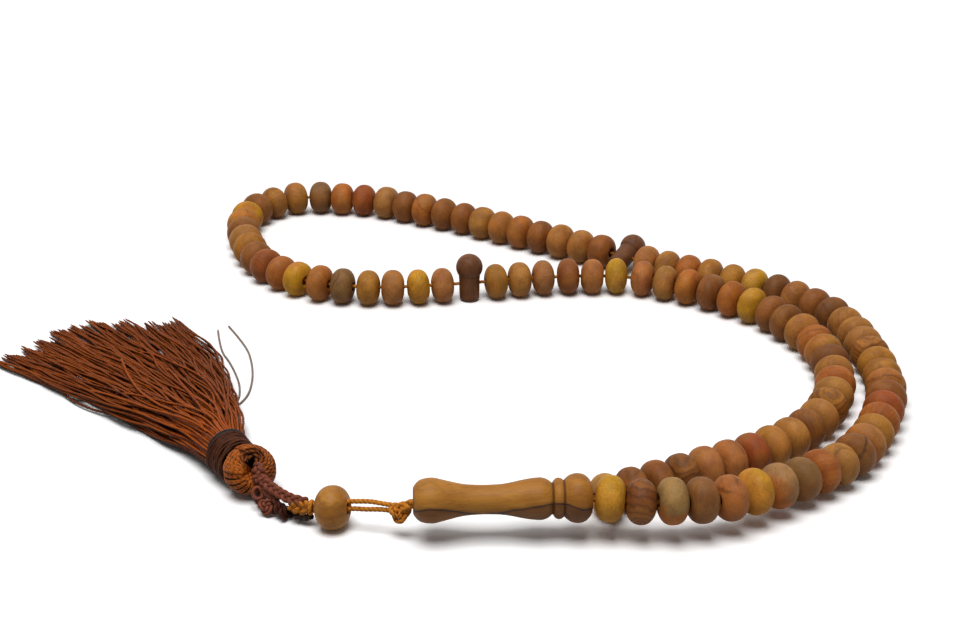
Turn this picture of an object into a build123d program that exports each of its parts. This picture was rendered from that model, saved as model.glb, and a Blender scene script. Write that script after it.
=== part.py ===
# A misbaha: ninety-nine turned wooden beads and two markers on one cord, whose two ends pass through a turned
# imame into a knot, and on as a tail with a small sliding bead, a whipping, a braided hanger and a tassel.
# It lies on a table. Millimetres, +Z up, the table at z = 0, +X along the longer side.
import os
from math import cos, pi, radians, sin, sqrt, tan

from build123d import *

# Beads
beadWide = 8.0
beadThick = 4.95
beadFace = 3.0
beadBelt = 2.0
beadBore = 2.1
beadSides = 10
boreSides = 5

# Cord
cordWide = 0.8
cordSides = 4
threadSides = 4
turnedSides = 22
boreSlack = 0.1

# Markers: a knob on a shank, bored crosswise
markerSpace = 6.6
markerTall = 10.7
markerShank = 4.3
markerNeck = 3.3
markerKnob = 5.7
markerBore = 2.2
markerBoreHigh = 4.0
marker2Lean = 70

# Imame
imameLong = 29.4
imameBody = 22.9
imameRing = 2.0
imameTail = 4.4
imameShoulder = 7.5
imameWaist = 4.85
imameChest = 7.0
imameRingWide = 6.8
imameBall = 8.2
imameShoulderAt = 2.9
imameChestAt = 2.1
imameGroove = 5.2
imameMouth = 3.8
imameBore = 2.8
imameTurn = 2
mouthRight = 25.5
mouthNear = 80.87
mouthHigh = 7.4
mouthPlace = Vector(mouthRight, -mouthNear, mouthHigh)
mouthGap = 0.9

# Tail
strandPitch = 0.88
knotWide = 4.1
knotFlat = 1.45
knotAway = 2.2
knotPlace = mouthPlace + Vector(-imameLong - knotAway, 0.15, -2.7)
tailReach = 14.55
tailStart = knotPlace + Vector(-tailReach, 3.7, -1.25)
tailStop = knotPlace + Vector(-1.55, 0.7, 0.25)
smallBeadWide = 7.5
smallBeadThick = 5.8
smallBeadFace = 3.4
smallBeadBore = 2.0
smallBeadAlong = 3.3

# Whipping and the cord's burnt end
whipLong = 4.5
whipCore = 1.75
whipThread = 0.5
whipPitch = 0.95
whipTurns = 4
burntWide = 0.9
burntLong = 3.4

# Tassel: lengths along its axis from the middle of the head, forward to the whipping
tasselTurn = -56
headAway = 12.35
headPlace = Vector(tailStart.X - headAway, tailStart.Y + 11.3, 0)
headWide = 9.4
headBack = 4.25
neckWide = 7.2
eyePlace = 2.3
eyeWide = 2.2
pitWide = 4.6
braidWide = 1.4
braidLow = 0.75
braidHigh = 8.1
braidGap = 0.25
wrapLong = 3.6
wrapCore = 7.55
wrapThread = 0.55
wrapPitch = 0.98
wrapTurns = 3
bandLong = 0.9
bandWide = 8.5
yarnGap = 0.05
skirtTips = 14
skirtSides = 8
skirtNotch = 3.5
threadWide = 0.45

# The string's runs: beads, turn in degrees before them, and their pitch as a share of a bead's thickness.
snug = 1.02
easy = 1.07
slack = 1.088
loose = 1.14
startTurn = -8
outerRuns = [
    (2, 0, snug), (2, 18, snug), (3, 24, snug), (3, 7, snug), (2, 16, snug), (2, 9, snug), (2, 6, snug),
    (2, 13, snug), (2, 8, snug), (2, 2, snug), (2, 14, easy), (3, 21, easy), (3, 19, easy), (3, -3, easy),
]
farRuns = [
    (4, 3, loose), (4, -1, loose), (4, 6, loose), (3, 20, loose), (1, 33, loose), (1, 20, loose), (1, 21, loose),
    (1, 18, loose), (1, 12, loose), (1, 7, loose), (1, 4, loose), (1, 4, loose), (1, 6, loose), (1, 8, loose),
    (2, 16, slack), (2, 24, slack), (2, 17, slack), (2, 10, slack),
]
innerRuns = [
    (3, 1, slack), (3, -11, slack), (3, -29, slack), (3, -15, slack), (3, -21, slack), (2, -17, snug),
    (2, -11, snug), (2, -13, snug), (2, -14, snug), (2, -14, snug), (2, -10, snug), (3, -8, snug), (3, -1, snug),
]
marker2Turn = -4
marker1Turn = 1
# How much of the mouth's height over the lying beads is left at the first corners
mouthLift = [1.0, 0.91, 0.75, 0.31, 0.015]


def frame(place, along, up=Vector(0, 0, 1)):
    """A plane at place whose X runs along a direction, with Z as near to up as that allows."""
    along = along.normalized()
    return Plane(origin=place, x_dir=along, z_dir=(up - along * up.dot(along)).normalized())


def lay_string():
    """The string's straight runs as (name, start, direction, length before, beads, pitch) and its corners."""
    plan = [("outer_%02d" % (i + 1), n, turn, p * beadThick) for i, (n, turn, p) in enumerate(outerRuns)]
    plan.append(("marker_2", 0, marker2Turn, 0))
    plan += [("far_%02d" % (i + 1), n, turn, p * beadThick) for i, (n, turn, p) in enumerate(farRuns)]
    plan.append(("marker_1", 0, marker1Turn, 0))
    plan += [("inner_%02d" % (i + 1), n, turn, p * beadThick) for i, (n, turn, p) in enumerate(innerRuns)]
    opening = [0] + [beadFace / 2 * tan(radians(abs(turn)) / 2) for name, n, turn, p in plan[1:]] + [0]
    rest = beadWide / 2
    heading = startTurn
    ahead = Vector(mouthGap, 0, 0).rotate(Axis.Z, imameTurn)
    corner = Vector(mouthPlace.X + ahead.X, mouthPlace.Y + ahead.Y, 0)
    corners = []
    runs = []
    for k, (name, n, turn, pitch) in enumerate(plan):
        heading += turn
        full = (n * pitch if n else markerSpace) + opening[k] + opening[k + 1]
        after = corner + Vector(full, 0, 0).rotate(Axis.Z, heading)
        ends = []
        for point, index in ((corner, k), (after, k + 1)):
            lift = mouthLift[index] if index < len(mouthLift) else 0
            ends.append(Vector(point.X, point.Y, rest + (mouthPlace.Z - rest) * lift))
        corners.append(ends[0])
        runs.append((name, ends[0], (ends[1] - ends[0]).normalized(), opening[k], n, pitch))
        corner = after
    corners.append(ends[1])
    return runs, corners


def turned(profile, sides):
    """A turned solid with flat facets: a regular polygon at each (x, radius) along X, joined by flat faces."""
    angles = [2 * pi * (i + 0.5) / sides for i in range(sides)]
    rings = [[Vector(x, r * sin(a), -r * cos(a)) for a in angles] for x, r in profile]
    faces = [Face(Wire.make_polygon(ring)) for ring in (rings[0], rings[-1])]
    for low, high in zip(rings, rings[1:]):
        for i in range(sides):
            j = (i + 1) % sides
            faces.append(Face(Wire.make_polygon([low[i], low[j], high[j], high[i]])))
    return Solid(Shell(faces))


def drilled(solid, wide, long, sides):
    """The solid with a bore along X, as many-sided as asked and never narrower than its width."""
    drill = Plane.YZ.offset(-long / 2) * RegularPolygon(wide / 2, sides, major_radius=False)
    return solid - extrude(drill, long)


def bead_solid():
    """A rondelle with its bore along X and its middle at the origin."""
    half = [(-beadThick / 2, beadFace / 2), (-beadBelt / 2, beadWide / 2)]
    whole = half + [(-x, r) for x, r in reversed(half)]
    return drilled(turned(whole, beadSides), beadBore, 2 * beadThick, boreSides)


def string_radius(before, point, after, room):
    """The largest arc at a corner that its two runs and the room beside the cord allow."""
    turn = radians((point - before).get_angle(after - point))
    shorter = min((point - before).length, (after - point).length)
    return min(0.45 * shorter / tan(turn / 2), room / (1 / cos(turn / 2) - 1))


def cord_tube(points, radii, wide, sides):
    """A tube of straight runs and tangent arcs, with its radii, length and volume printed."""
    path = FilletPolyline(*points, radius=radii)
    section = Plane(origin=path @ 0, z_dir=path % 0) * RegularPolygon(wide / 2, sides)
    tube = sweep(section, path=path)
    flat = section.area * path.length
    print("  radii", [round(r, 2) for r in radii])
    print("  length %.1f, volume %.2f, section x length %.2f" % (path.length, tube.volume, flat))
    return tube


def winding(radius, pitch, turns, wide, sides):
    """An unbroken wound tube round the X axis, of half-turn biarcs, from x = 0, with straight ends."""
    climb = pitch / (2 * pi * radius)

    def place(angle):
        return Vector(pitch * angle / (2 * pi), radius * cos(angle), radius * sin(angle))

    def heading(angle):
        return Vector(climb, -sin(angle), cos(angle)).normalized()

    steps = 2 * turns
    edges = []
    first, last = place(0), place(2 * pi * turns)
    edges.append(Line(first - heading(0) * wide, first))
    for i in range(steps):
        low, high = pi * i, pi * (i + 1)
        p0, p1, t0, t1 = place(low), place(high), heading(low), heading(high)
        chord = p1 - p0
        both = t0 + t1
        slope = 2 * (1 - t0.dot(t1))
        reach = (-chord.dot(both) + sqrt(chord.dot(both) ** 2 + slope * chord.dot(chord))) / slope
        middle = (p0 + t0 * reach + p1 - t1 * reach) * 0.5
        turned = ((p1 - t1 * reach) - (p0 + t0 * reach)).normalized()
        edges.append(TangentArc(p0, middle, tangent=t0))
        edges.append(TangentArc(middle, p1, tangent=turned))
    edges.append(Line(last, last + heading(2 * pi * turns) * wide))
    path = Wire([edge for part in edges for edge in part.edges()])
    section = Plane(origin=path @ 0, z_dir=path % 0) * RegularPolygon(wide / 2, sides)
    tube = sweep(section, path=path)
    marks = [path @ (i / (40 * turns)) for i in range(40 * turns + 1)]
    gap = min((marks[i] - marks[j]).length for i in range(len(marks)) for j in range(i + 25, len(marks))) - wide
    print("  turns %d, least gap to itself %.2f, volume %.3f of %.3f" % (
        turns, gap, tube.volume, section.area * path.length))
    return tube


nodes = {}
runs, corners = lay_string()

# Beads
bead = bead_solid()
for name, start, along, before, count, pitch in runs:
    if count:
        places = [start + along * (before + (j + 0.5) * pitch) for j in range(count)]
        nodes[name] = [frame(place, along).location * bead for place in places]

# Markers stand on the table; the second one has fallen over outwards. Their feet are rounded about the bore.
foot = [(markerBoreHigh - sqrt(markerBoreHigh**2 - r**2), r) for r in (0.5, 1.3, markerShank / 2)]
knobMiddle = markerTall - markerKnob / 2
neckHigh = knobMiddle - sqrt(markerKnob**2 - markerNeck**2) / 2
shank = [(neckHigh - 1.1, markerShank / 2), (neckHigh, markerNeck / 2)]
knob = [(knobMiddle + markerKnob / 2 * sin(radians(a)), markerKnob / 2 * cos(radians(a)))
        for a in (-32, -8, 16, 40, 64, 82)]
marker = turned([(x - markerBoreHigh, r) for x, r in foot + shank + knob], turnedSides * 2 // 3)
marker = marker.rotate(Axis.Y, -90)
marker = drilled(marker, markerBore, 2 * markerShank, 8)
for name, lean in (("marker_1", 0), ("marker_2", marker2Lean)):
    start, along, before = [run[1:4] for run in runs if run[0] == name][0]
    middle = start + along * (before + markerSpace / 2)
    standing = frame(middle, along).location * Location((0, 0, 0), (lean, 0, 0))
    nodes[name.replace("_", "_bead_")] = [standing * marker]

# Imame, its mouth at the origin and its tail along -X
tail = -imameLong
chest = tail + imameBody
ring = chest + imameRing


def between(low, high, share):
    """A radius that many tenths of the way from one width to another."""
    return (low + (high - low) * share) / 2


imameProfile = [
    (tail, imameTail / 2), (tail + 0.17 * imameShoulderAt, between(imameTail, imameShoulder, 0.5)),
    (tail + 0.45 * imameShoulderAt, between(imameTail, imameShoulder, 0.82)),
    (tail + 0.72 * imameShoulderAt, between(imameTail, imameShoulder, 0.96)),
    (tail + imameShoulderAt, imameShoulder / 2),
]
waistAt = tail + 0.56 * imameBody
for share in (0.15, 0.3, 0.5, 0.7, 0.85):
    sink = (1 - cos(pi * share)) / 2
    reach = waistAt - tail - imameShoulderAt
    imameProfile.append((waistAt - reach * (1 - share), between(imameShoulder, imameWaist, sink)))
imameProfile.append((waistAt, imameWaist / 2))
for share in (0.2, 0.4, 0.6, 0.8, 1.0):
    swell = (1 - cos(pi * share)) / 2
    imameProfile.append((waistAt + (chest - imameChestAt - waistAt) * share, between(imameWaist, imameChest, swell)))
imameProfile += [
    (chest - imameChestAt / 2, between(imameGroove, imameChest, 0.85)), (chest, imameGroove / 2),
    (chest + 0.3 * imameRing, between(imameGroove, imameRingWide, 0.85)), (chest + imameRing / 2, imameRingWide / 2),
    (chest + 0.75 * imameRing, between(imameGroove, imameRingWide, 0.9)), (ring, between(imameGroove, imameRingWide, 0.5)),
]
for share, swell in ((0.12, 0.36), (0.28, 0.76), (0.46, 1.0), (0.62, 0.94), (0.8, 0.7), (0.93, 0.3), (1.0, 0.0)):
    imameProfile.append((ring - ring * share, between(imameMouth if share > 0.46 else imameGroove, imameBall, swell)))
imameFrame = frame(mouthPlace, Vector(1, 0, 0).rotate(Axis.Z, imameTurn))
nodes["imame"] = [imameFrame.location * drilled(turned(imameProfile, turnedSides), imameBore, 3 * imameLong, 8)]

# Tail line: the knot, the two strands, the small bead and the whipping all lie along it.
tailWay = (tailStop - tailStart).normalized()
tailFrame = frame(tailStart, tailWay)
knotTop = (imameFrame.location * Location((-imameLong - 0.95, 0, 0))).position - knotPlace
knotTop = knotTop.normalized()
knotLeft = tailWay * -1
knot = turned([(knotWide / 2 * sin(radians(a)), knotWide / 2 * cos(radians(a))) for a in (-75, -45, -15, 15, 45, 75)], 12)
for way in (knotTop, knotLeft):
    cutter = Plane(origin=way * knotFlat, z_dir=way)
    knot = split(knot, cutter, keep=Keep.BOTTOM)
nodes["end_knot"] = [knot.moved(Location(knotPlace))]

strandLong = (knotPlace + knotLeft * knotFlat - tailStart).dot(tailWay)
strands = []
for side in (-1, 1):
    strand = extrude(Plane.YZ * RegularPolygon(cordWide / 2, cordSides), strandLong)
    strands.append(tailFrame.location * Location((0, 0, side * strandPitch / 2)) * strand)
nodes["tail_strands"] = strands

half = smallBeadThick / 2
swell = [(-1.0, 0.0), (-0.9, 0.4), (-0.65, 0.75), (-0.3, 0.96), (0.3, 0.96), (0.65, 0.75), (0.9, 0.4), (1.0, 0.0)]
smallProfile = [(half * x, between(smallBeadFace, smallBeadWide, r)) for x, r in swell]
smallBead = drilled(turned(smallProfile, turnedSides * 2 // 3), smallBeadBore, 2 * smallBeadThick, 8)
nodes["small_bead"] = [tailFrame.location * Location((smallBeadAlong, 0, 0)) * smallBead]

# Whipping: a core that the strands end in, with the wound thread round it
cap = whipCore / 2
core = turned([(-whipLong, 0.3 * cap), (-whipLong + 0.25 * cap, 0.75 * cap), (-whipLong + cap, cap), (0, cap)], 10)
print("whipping")
coil = winding(whipCore / 2 + whipThread / 2 + 0.03, whipPitch, whipTurns, whipThread, threadSides)
coilStart = -(whipLong + whipPitch * whipTurns) / 2
nodes["whipped_knot"] = [tailFrame.location * core, tailFrame.location * Location((coilStart, 0, 0)) * coil]

burntDrop = whipCore / 2 + whipThread + burntWide / 2 + 0.1
burnt = turned([(-burntLong, 0.4 * burntWide / 2), (-burntLong + 0.6, 0.85 * burntWide / 2),
                (-burntLong + 1.3, burntWide / 2), (-0.3, burntWide / 2), (0, 0.75 * burntWide / 2)], 8)
nodes["cord_end"] = [tailFrame.location * Location((-0.3, 0, -burntDrop)) * burnt]

# The string's cord: from the knot through the imame, round all the beads and back
print("stringing cord")
apart = (cordWide + 0.4) / 2
beadRoom = (beadBore - cordWide) / 2 - boreSlack


def in_imame(along, side):
    return (imameFrame.location * Location((along, side * apart, 0))).position


knotFace = knotPlace + knotTop * knotFlat
acrossKnot = imameFrame.y_dir - knotTop * imameFrame.y_dir.dot(knotTop)
acrossKnot = acrossKnot.normalized() * apart
knotReach = (mouthPlace.Z - knotFace.Z) / knotTop.Z
knotBends = [knotFace + acrossKnot * side + knotTop * knotReach for side in (-1, 1)]
out = [knotFace - acrossKnot, knotBends[0], in_imame(-imameLong / 2, -1.01), in_imame(-5, -1)]
out.append(corners[0] + imameFrame.y_dir * (-0.7 * apart))
leave = corners[-1] + runs[-1][2] * (0.8 * cordWide)
home = [leave, in_imame(mouthGap / 2, 1), in_imame(-5, 1), in_imame(-imameLong / 2, 1.01), knotBends[1]]
home.append(knotFace + acrossKnot)
route = out + corners[1:-1] + home
radii = []
for before, point, after in zip(route, route[1:], route[2:]):
    radii.append(string_radius(before, point, after, beadRoom))
    if point is leave:
        radii[-1] = 3 * cordWide
    if point in (home[1], home[4], out[1]):
        radii[-1] = min(radii[-1], 1.15 * cordWide)
nodes["stringing_cord"] = [cord_tube(route, radii, cordWide, cordSides)]

# Tassel, in a frame with X along its axis to the whipping and the head over the origin
tasselFrame = frame(headPlace, Vector(1, 0, 0).rotate(Axis.Z, tasselTurn))
headHigh = headWide / 2
headProfile = [(-headBack, neckWide / 2), (-0.8 * headBack, between(neckWide, headWide, 0.55)),
               (-0.5 * headBack, between(neckWide, headWide, 0.88)), (-0.1 * headBack, headHigh)]
headProfile += [(headHigh * sin(radians(a)), headHigh * cos(radians(a))) for a in (12, 28, 44, 60, 74, 84)]
head = turned(headProfile, turnedSides).moved(Location((0, 0, headHigh)))
head -= extrude(Plane.XY * Location((eyePlace, 0)) * RegularPolygon(eyeWide / 2, 12, major_radius=False), headWide)
# The pits round the eye leave room for the braid to swing over the folded yarns.
pitFloor = braidHigh - braidWide / 2 - braidGap
pit = turned([(pitFloor, pitWide / 2 - 0.7), (pitFloor + 1.2, pitWide / 2), (headWide + 1, pitWide / 2)], 12)
head -= pit.rotate(Axis.Y, -90).moved(Location((eyePlace, 0, 0)))
underHigh = braidLow + braidWide / 2 + braidGap
head -= extrude(Plane.XY * Location((eyePlace, 0)) * RegularPolygon(pitWide / 2 - 0.3, 12), underHigh)
nodes["tassel_head"] = [tasselFrame.location * head]

# Braid: a ring in the upright plane through the eye and the whipping's end
eye = tasselFrame.location * Location((eyePlace, 0, 0))
whipEnd = (tailFrame.location * Location((-whipLong, 0, 0))).position
toWhip = Vector(whipEnd.X - eye.position.X, whipEnd.Y - eye.position.Y, 0)
braidBend = 0.9
braidEnd = toWhip.length - 1.6 * braidGap - braidWide / 2
pivotHigh = whipEnd.Z - 0.25
loop = [
    (0, braidLow), (0, braidHigh), (2.6, braidHigh), (3.95, 5.4), (braidEnd, pivotHigh + 1.15 * braidBend),
    (braidEnd, pivotHigh - 1.15 * braidBend),
]
braidFrame = frame(Vector(eye.position.X, eye.position.Y, 0), toWhip)
ringPoints = [(braidFrame.location * Location((x, 0, z))).position for x, z in loop]
ringRadii = [braidBend, braidBend, 1.3, 2.0, braidBend, braidBend]
ringPath = FilletPolyline(*ringPoints, radius=ringRadii, close=True)
ringStart = Plane(origin=ringPath @ 0, z_dir=ringPath % 0)
nodes["hanger_braid"] = [sweep(ringStart * RegularPolygon(braidWide / 2, 5), path=ringPath)]
print("braid ring length %.1f" % ringPath.length)

# Neck winding, band and skirt
wrapFront = -headBack - yarnGap
drum = turned([(wrapFront - wrapLong, wrapCore / 2), (wrapFront, wrapCore / 2)], turnedSides)
drum = drum.moved(Location((0, 0, headHigh)))
print("neck winding")
wound = winding(wrapCore / 2 + wrapThread / 2 + 0.03, wrapPitch, wrapTurns, wrapThread, threadSides)
wound = wound.moved(Location((wrapFront - (wrapLong + wrapPitch * wrapTurns) / 2, 0, headHigh)))
nodes["neck_wrap"] = [tasselFrame.location * drum, tasselFrame.location * wound]

bandFront = wrapFront - wrapLong - yarnGap
bandProfile = [(-bandLong, bandWide / 2 - 0.3), (-bandLong + 0.3, bandWide / 2), (-0.3, bandWide / 2),
               (0, bandWide / 2 - 0.3)]
band = turned([(bandFront + x, r) for x, r in bandProfile], turnedSides)
nodes["neck_band"] = [tasselFrame.location * band.moved(Location((0, 0, headHigh)))]

# Skirt: distance behind the band, left and right edge, and height of each section, then the tips' line
skirtFront = bandFront - bandLong - yarnGap
skirtSections = [(0, -4.0, 4.0, 8.6), (9, -4.5, 8.0, 7.2), (22.6, -6.3, 13.2, 4.8), (44.4, -12.7, 20.4, 2.6),
                 (77.4, -22.4, 23.2, 1.3)]
tipLine = [(-23, 60.5), (-18.8, 64.6), (-9.6, 72.3), (-2, 75.3), (3.9, 75.9), (7.9, 75.8), (13.6, 72.0),
           (18.4, 67.4), (22, 63.6), (26, 58.5)]
sections = []
for behind, left, right, high in skirtSections:
    middle = (left + right) / 2
    points = []
    for k in range(skirtSides):
        angle = 2 * pi * k / skirtSides
        points.append((middle + (right - left) / 2 * cos(angle), high / 2 * (1 + sin(angle))))
    plane = Plane(origin=(skirtFront - behind, 0, 0), x_dir=(0, 1, 0), z_dir=(1, 0, 0))
    sections.append(plane * make_face(Polyline(*points, close=True)))
skirt = loft(sections, ruled=True)


def tips_at(side):
    for (a, low), (b, high) in zip(tipLine, tipLine[1:]):
        if a <= side <= b:
            return low + (high - low) * (side - a) / (b - a)


edge = [(skirtFront + 2, tipLine[0][0] - 3)]
wide = (tipLine[-1][0] - tipLine[0][0]) / skirtTips
for k in range(skirtTips):
    side = tipLine[0][0] + wide * k
    uneven = 1 + 0.35 * ((k * 5) % 7) / 7
    edge.append((skirtFront - tips_at(side) + skirtNotch * uneven, side))
    edge.append((skirtFront - tips_at(side + 0.3 * wide), side + 0.3 * wide))
    edge.append((skirtFront - tips_at(side + 0.7 * wide), side + 0.7 * wide))
edge.append((skirtFront + 2, tipLine[-1][0] + 3))
skirt = skirt & extrude(make_face(Polyline(*edge, close=True)), headWide * 2)
nodes["tassel_skirt"] = [tasselFrame.location * skirt]

# Two stray threads that lie beside the skirt
threadRoutes = [
    [(-30.2, 9.9), (-34.2, 13.4), (-39.5, 16.0), (-45.4, 18.4), (-52.4, 22.3), (-59.5, 24.9), (-65.0, 26.2)],
    [(-35.0, 11.6), (-38.2, 15.2), (-42.6, 18.2), (-49.8, 20.9), (-56.6, 22.2), (-62.2, 24.6), (-66.0, 28.4)],
]
strays = []
print("loose threads")
for line in threadRoutes:
    points = [(tasselFrame.location * Location((x, y, threadWide / 2))).position for x, y in line]
    bends = [string_radius(a, b, c, headWide) for a, b, c in zip(points, points[1:], points[2:])]
    strays.append(cord_tube(points, bends, threadWide, 4))
nodes["loose_threads"] = strays

os.makedirs("parts", exist_ok=True)
box = None
for name, solids in nodes.items():
    whole = Compound(children=solids)
    export_step(whole, "parts/%s.step" % name)
    size = whole.bounding_box()
    box = size if box is None else box.add(size)
print(len(nodes), "nodes, box", box)
print("braid pivot", (braidFrame.location * Location((braidEnd - braidBend, 0, pivotHigh))).position)
print("eye", eye.position, "tail way", tailWay, "string end", corners[-1])
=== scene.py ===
import math

import bpy
import numpy as np
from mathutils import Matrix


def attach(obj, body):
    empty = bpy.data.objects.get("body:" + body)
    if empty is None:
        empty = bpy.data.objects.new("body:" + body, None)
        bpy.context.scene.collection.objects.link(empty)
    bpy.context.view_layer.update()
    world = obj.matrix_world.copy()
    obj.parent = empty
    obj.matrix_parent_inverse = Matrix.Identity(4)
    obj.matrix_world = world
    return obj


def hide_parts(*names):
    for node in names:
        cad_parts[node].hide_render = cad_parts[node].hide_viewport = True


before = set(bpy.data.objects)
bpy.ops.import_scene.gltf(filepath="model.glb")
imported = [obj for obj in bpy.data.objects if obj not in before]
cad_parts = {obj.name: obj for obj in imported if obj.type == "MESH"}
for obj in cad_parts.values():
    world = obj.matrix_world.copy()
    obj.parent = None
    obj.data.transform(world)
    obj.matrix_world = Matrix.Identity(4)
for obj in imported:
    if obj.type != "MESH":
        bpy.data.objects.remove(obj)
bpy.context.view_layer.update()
mm = 0.001
chance = np.random.default_rng(33)


def say(stage):
    print("misbaha:", stage)


class Value:  # wraps a node's output, so that shader sums read as Python
    def __init__(self, shader, out):
        self.shader, self.out = shader, out

    def sum(self, operation, first, second):
        return self.shader.add("ShaderNodeMath", {"operation": operation}, {0: first, 1: second})

    def __add__(self, other):
        return self.sum("ADD", self, other)

    def __sub__(self, other):
        return self.sum("SUBTRACT", self, other)

    def __mul__(self, other):
        return self.sum("MULTIPLY", self, other)

    def __truediv__(self, other):
        return self.sum("DIVIDE", self, other)

    def __pow__(self, other):
        return self.sum("POWER", self, other)

    def __radd__(self, other):
        return self.sum("ADD", other, self)

    def __rsub__(self, other):
        return self.sum("SUBTRACT", other, self)

    def __rmul__(self, other):
        return self.sum("MULTIPLY", other, self)

    def __rtruediv__(self, other):
        return self.sum("DIVIDE", other, self)

    def sine(self):
        return self.sum("SINE", self, 0)

    def size(self):
        return self.sum("ABSOLUTE", self, 0)

    def part(self):
        return self.sum("FRACT", self, 0)

    def least(self, other):
        return self.sum("MINIMUM", self, other)

    def most(self, other):
        return self.sum("MAXIMUM", self, other)

    def ramp(self, low, high):  # 0 below low, 1 above high, smooth between
        settings = {"interpolation_type": "SMOOTHSTEP"}
        return self.shader.add("ShaderNodeMapRange", settings, {0: self, 1: low, 2: high, 3: 0.0, 4: 1.0})


class Shader:
    def __init__(self, name, world=False):
        self.material = (bpy.data.worlds if world else bpy.data.materials).new(name)
        self.material.use_nodes = True
        self.tree = self.material.node_tree
        self.tree.nodes.clear()
        self.ending = self.tree.nodes.new("ShaderNodeOutputWorld" if world else "ShaderNodeOutputMaterial")

    def add(self, kind, settings, inputs, output=0):
        node = self.tree.nodes.new(kind)
        for key, value in settings.items():
            setattr(node, key, value)
        for key, value in inputs.items():
            if isinstance(value, Value):
                self.tree.links.new(value.out, node.inputs[key])
            else:
                node.inputs[key].default_value = value
        return Value(self, node.outputs[output])

    def finish(self, **sockets):
        inputs = {key.replace("_", " "): value for key, value in sockets.items()}
        surface = self.add("ShaderNodeBsdfPrincipled", {}, inputs)
        self.tree.links.new(surface.out, self.ending.inputs["Surface"])
        return self.material

    def finishTwice(self, kind, shown, lighting):  # one look for the camera, gloss and glass, one for light
        rays = [self.add("ShaderNodeLightPath", {}, {}, ray)
                for ray in ("Is Camera Ray", "Is Glossy Ray", "Is Transmission Ray")]
        seen = rays[0].most(rays[1]).most(rays[2])
        both = {0: seen, 1: self.add(kind, {}, lighting), 2: self.add(kind, {}, shown)}
        mixed = self.add("ShaderNodeMixShader", {}, both)
        self.tree.links.new(mixed.out, self.ending.inputs["Surface"])
        return self.material

    def mixed(self, share, low, high, how="MIX"):  # colours mixed by a share
        settings = {"data_type": "RGBA", "blend_type": how}
        return self.add("ShaderNodeMix", settings, {0: share, 6: low, 7: high}, 2)

    def times(self, colour, *tone):  # a colour times shares of red, green and blue
        return self.mixed(1.0, colour, (*tone, 1), "MULTIPLY")

    def stretched(self, vector, x, y, z):
        return self.add("ShaderNodeVectorMath", {"operation": "MULTIPLY"}, {0: vector, 1: (x, y, z)})

    def noise(self, vector, scale, detail, rough):
        inputs = {"Vector": vector, "Scale": scale, "Detail": detail, "Roughness": rough}
        return self.add("ShaderNodeTexNoise", {}, inputs)

    def kept(self, name, output=2):  # a value stored on the mesh: 0 colour, 1 vector, 2 number
        return self.add("ShaderNodeAttribute", {"attribute_name": name}, {}, output)

    def place(self):  # object coordinates in millimetres
        where = self.add("ShaderNodeTexCoord", {}, {}, 3)
        return self.stretched(where, 1000, 1000, 1000)

    def along(self, vector, axis):
        return self.add("ShaderNodeSeparateXYZ", {}, {0: vector}, axis)

    def bump(self, height, depth):  # depth in millimetres
        return self.add("ShaderNodeBump", {}, {"Height": height, "Distance": depth * mm})


def tint(red, green, blue):  # an 8-bit display colour as linear light
    share = np.array([red, green, blue]) / 255
    linear = np.where(share > 0.04045, ((share + 0.055) / 1.055) ** 2.4, share / 12.92)
    return (*[float(v) for v in linear], 1.0)


def makeMesh(name, points, quads, caps=(), attributes=None):
    # Points in millimetres (n, 3), quads (m, 4), caps a list of polygons with more corners.
    mesh = bpy.data.meshes.new(name)
    corners = np.concatenate([quads.ravel(), *[np.asarray(cap) for cap in caps]]) if len(caps) else quads.ravel()
    sizes = np.concatenate([np.full(len(quads), 4), [len(cap) for cap in caps]]).astype(np.int32)
    starts = np.concatenate([[0], np.cumsum(sizes)[:-1]]).astype(np.int32)
    mesh.vertices.add(len(points))
    mesh.vertices.foreach_set("co", (np.asarray(points) * mm).astype(np.float32).ravel())
    mesh.loops.add(len(corners))
    mesh.loops.foreach_set("vertex_index", corners.astype(np.int32))
    mesh.polygons.add(len(sizes))
    mesh.polygons.foreach_set("loop_start", starts)
    mesh.polygons.foreach_set("loop_total", sizes)
    mesh.polygons.foreach_set("use_smooth", np.ones(len(sizes), bool))
    mesh.update(calc_edges=True)
    for key, values in (attributes or {}).items():
        values = np.asarray(values, np.float32)
        if values.ndim == 1:
            mesh.attributes.new(key, "FLOAT", "POINT").data.foreach_set("value", values)
        else:
            mesh.attributes.new(key, "FLOAT_VECTOR", "POINT").data.foreach_set("vector", values.ravel())
    piece = bpy.data.objects.new(name, mesh)
    bpy.context.scene.collection.objects.link(piece)
    return piece


def dress(piece, material, body, node):
    piece.data.materials.append(material)
    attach(piece, body)
    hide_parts(node)


def towards(degrees):  # a level direction
    return np.array([math.cos(math.radians(degrees)), math.sin(math.radians(degrees)), 0])


def circle(count):  # angles once round
    return np.linspace(0, 2 * np.pi, count, endpoint=False)


def frameAt(along, up=(0, 0, 1)):  # rows: forward, left, up
    forward = np.asarray(along, float) / np.linalg.norm(along)
    up = np.asarray(up, float) - forward * np.dot(up, forward)
    up /= np.linalg.norm(up)
    return np.array([forward, np.cross(up, forward), up])


def spin(profile, sides, closed):
    # A profile of (along, radius) points turned about the X axis: each ring is radius times cosine and sine.
    profile = np.asarray(profile, float)
    angle = 2 * np.pi * np.arange(sides) / sides
    along = np.repeat(profile[:, :1], sides, 1)
    points = np.stack([along, profile[:, 1:] * np.sin(angle), -profile[:, 1:] * np.cos(angle)], -1)
    rows = len(profile)
    i = np.arange(rows if closed else rows - 1)[:, None]
    j = np.arange(sides)[None, :]
    after, turn = (i + 1) % rows, (j + 1) % sides
    quads = np.stack([i * sides + j, i * sides + turn, after * sides + turn, after * sides + j], -1)
    return points.reshape(-1, 3), quads.reshape(-1, 4)


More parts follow.
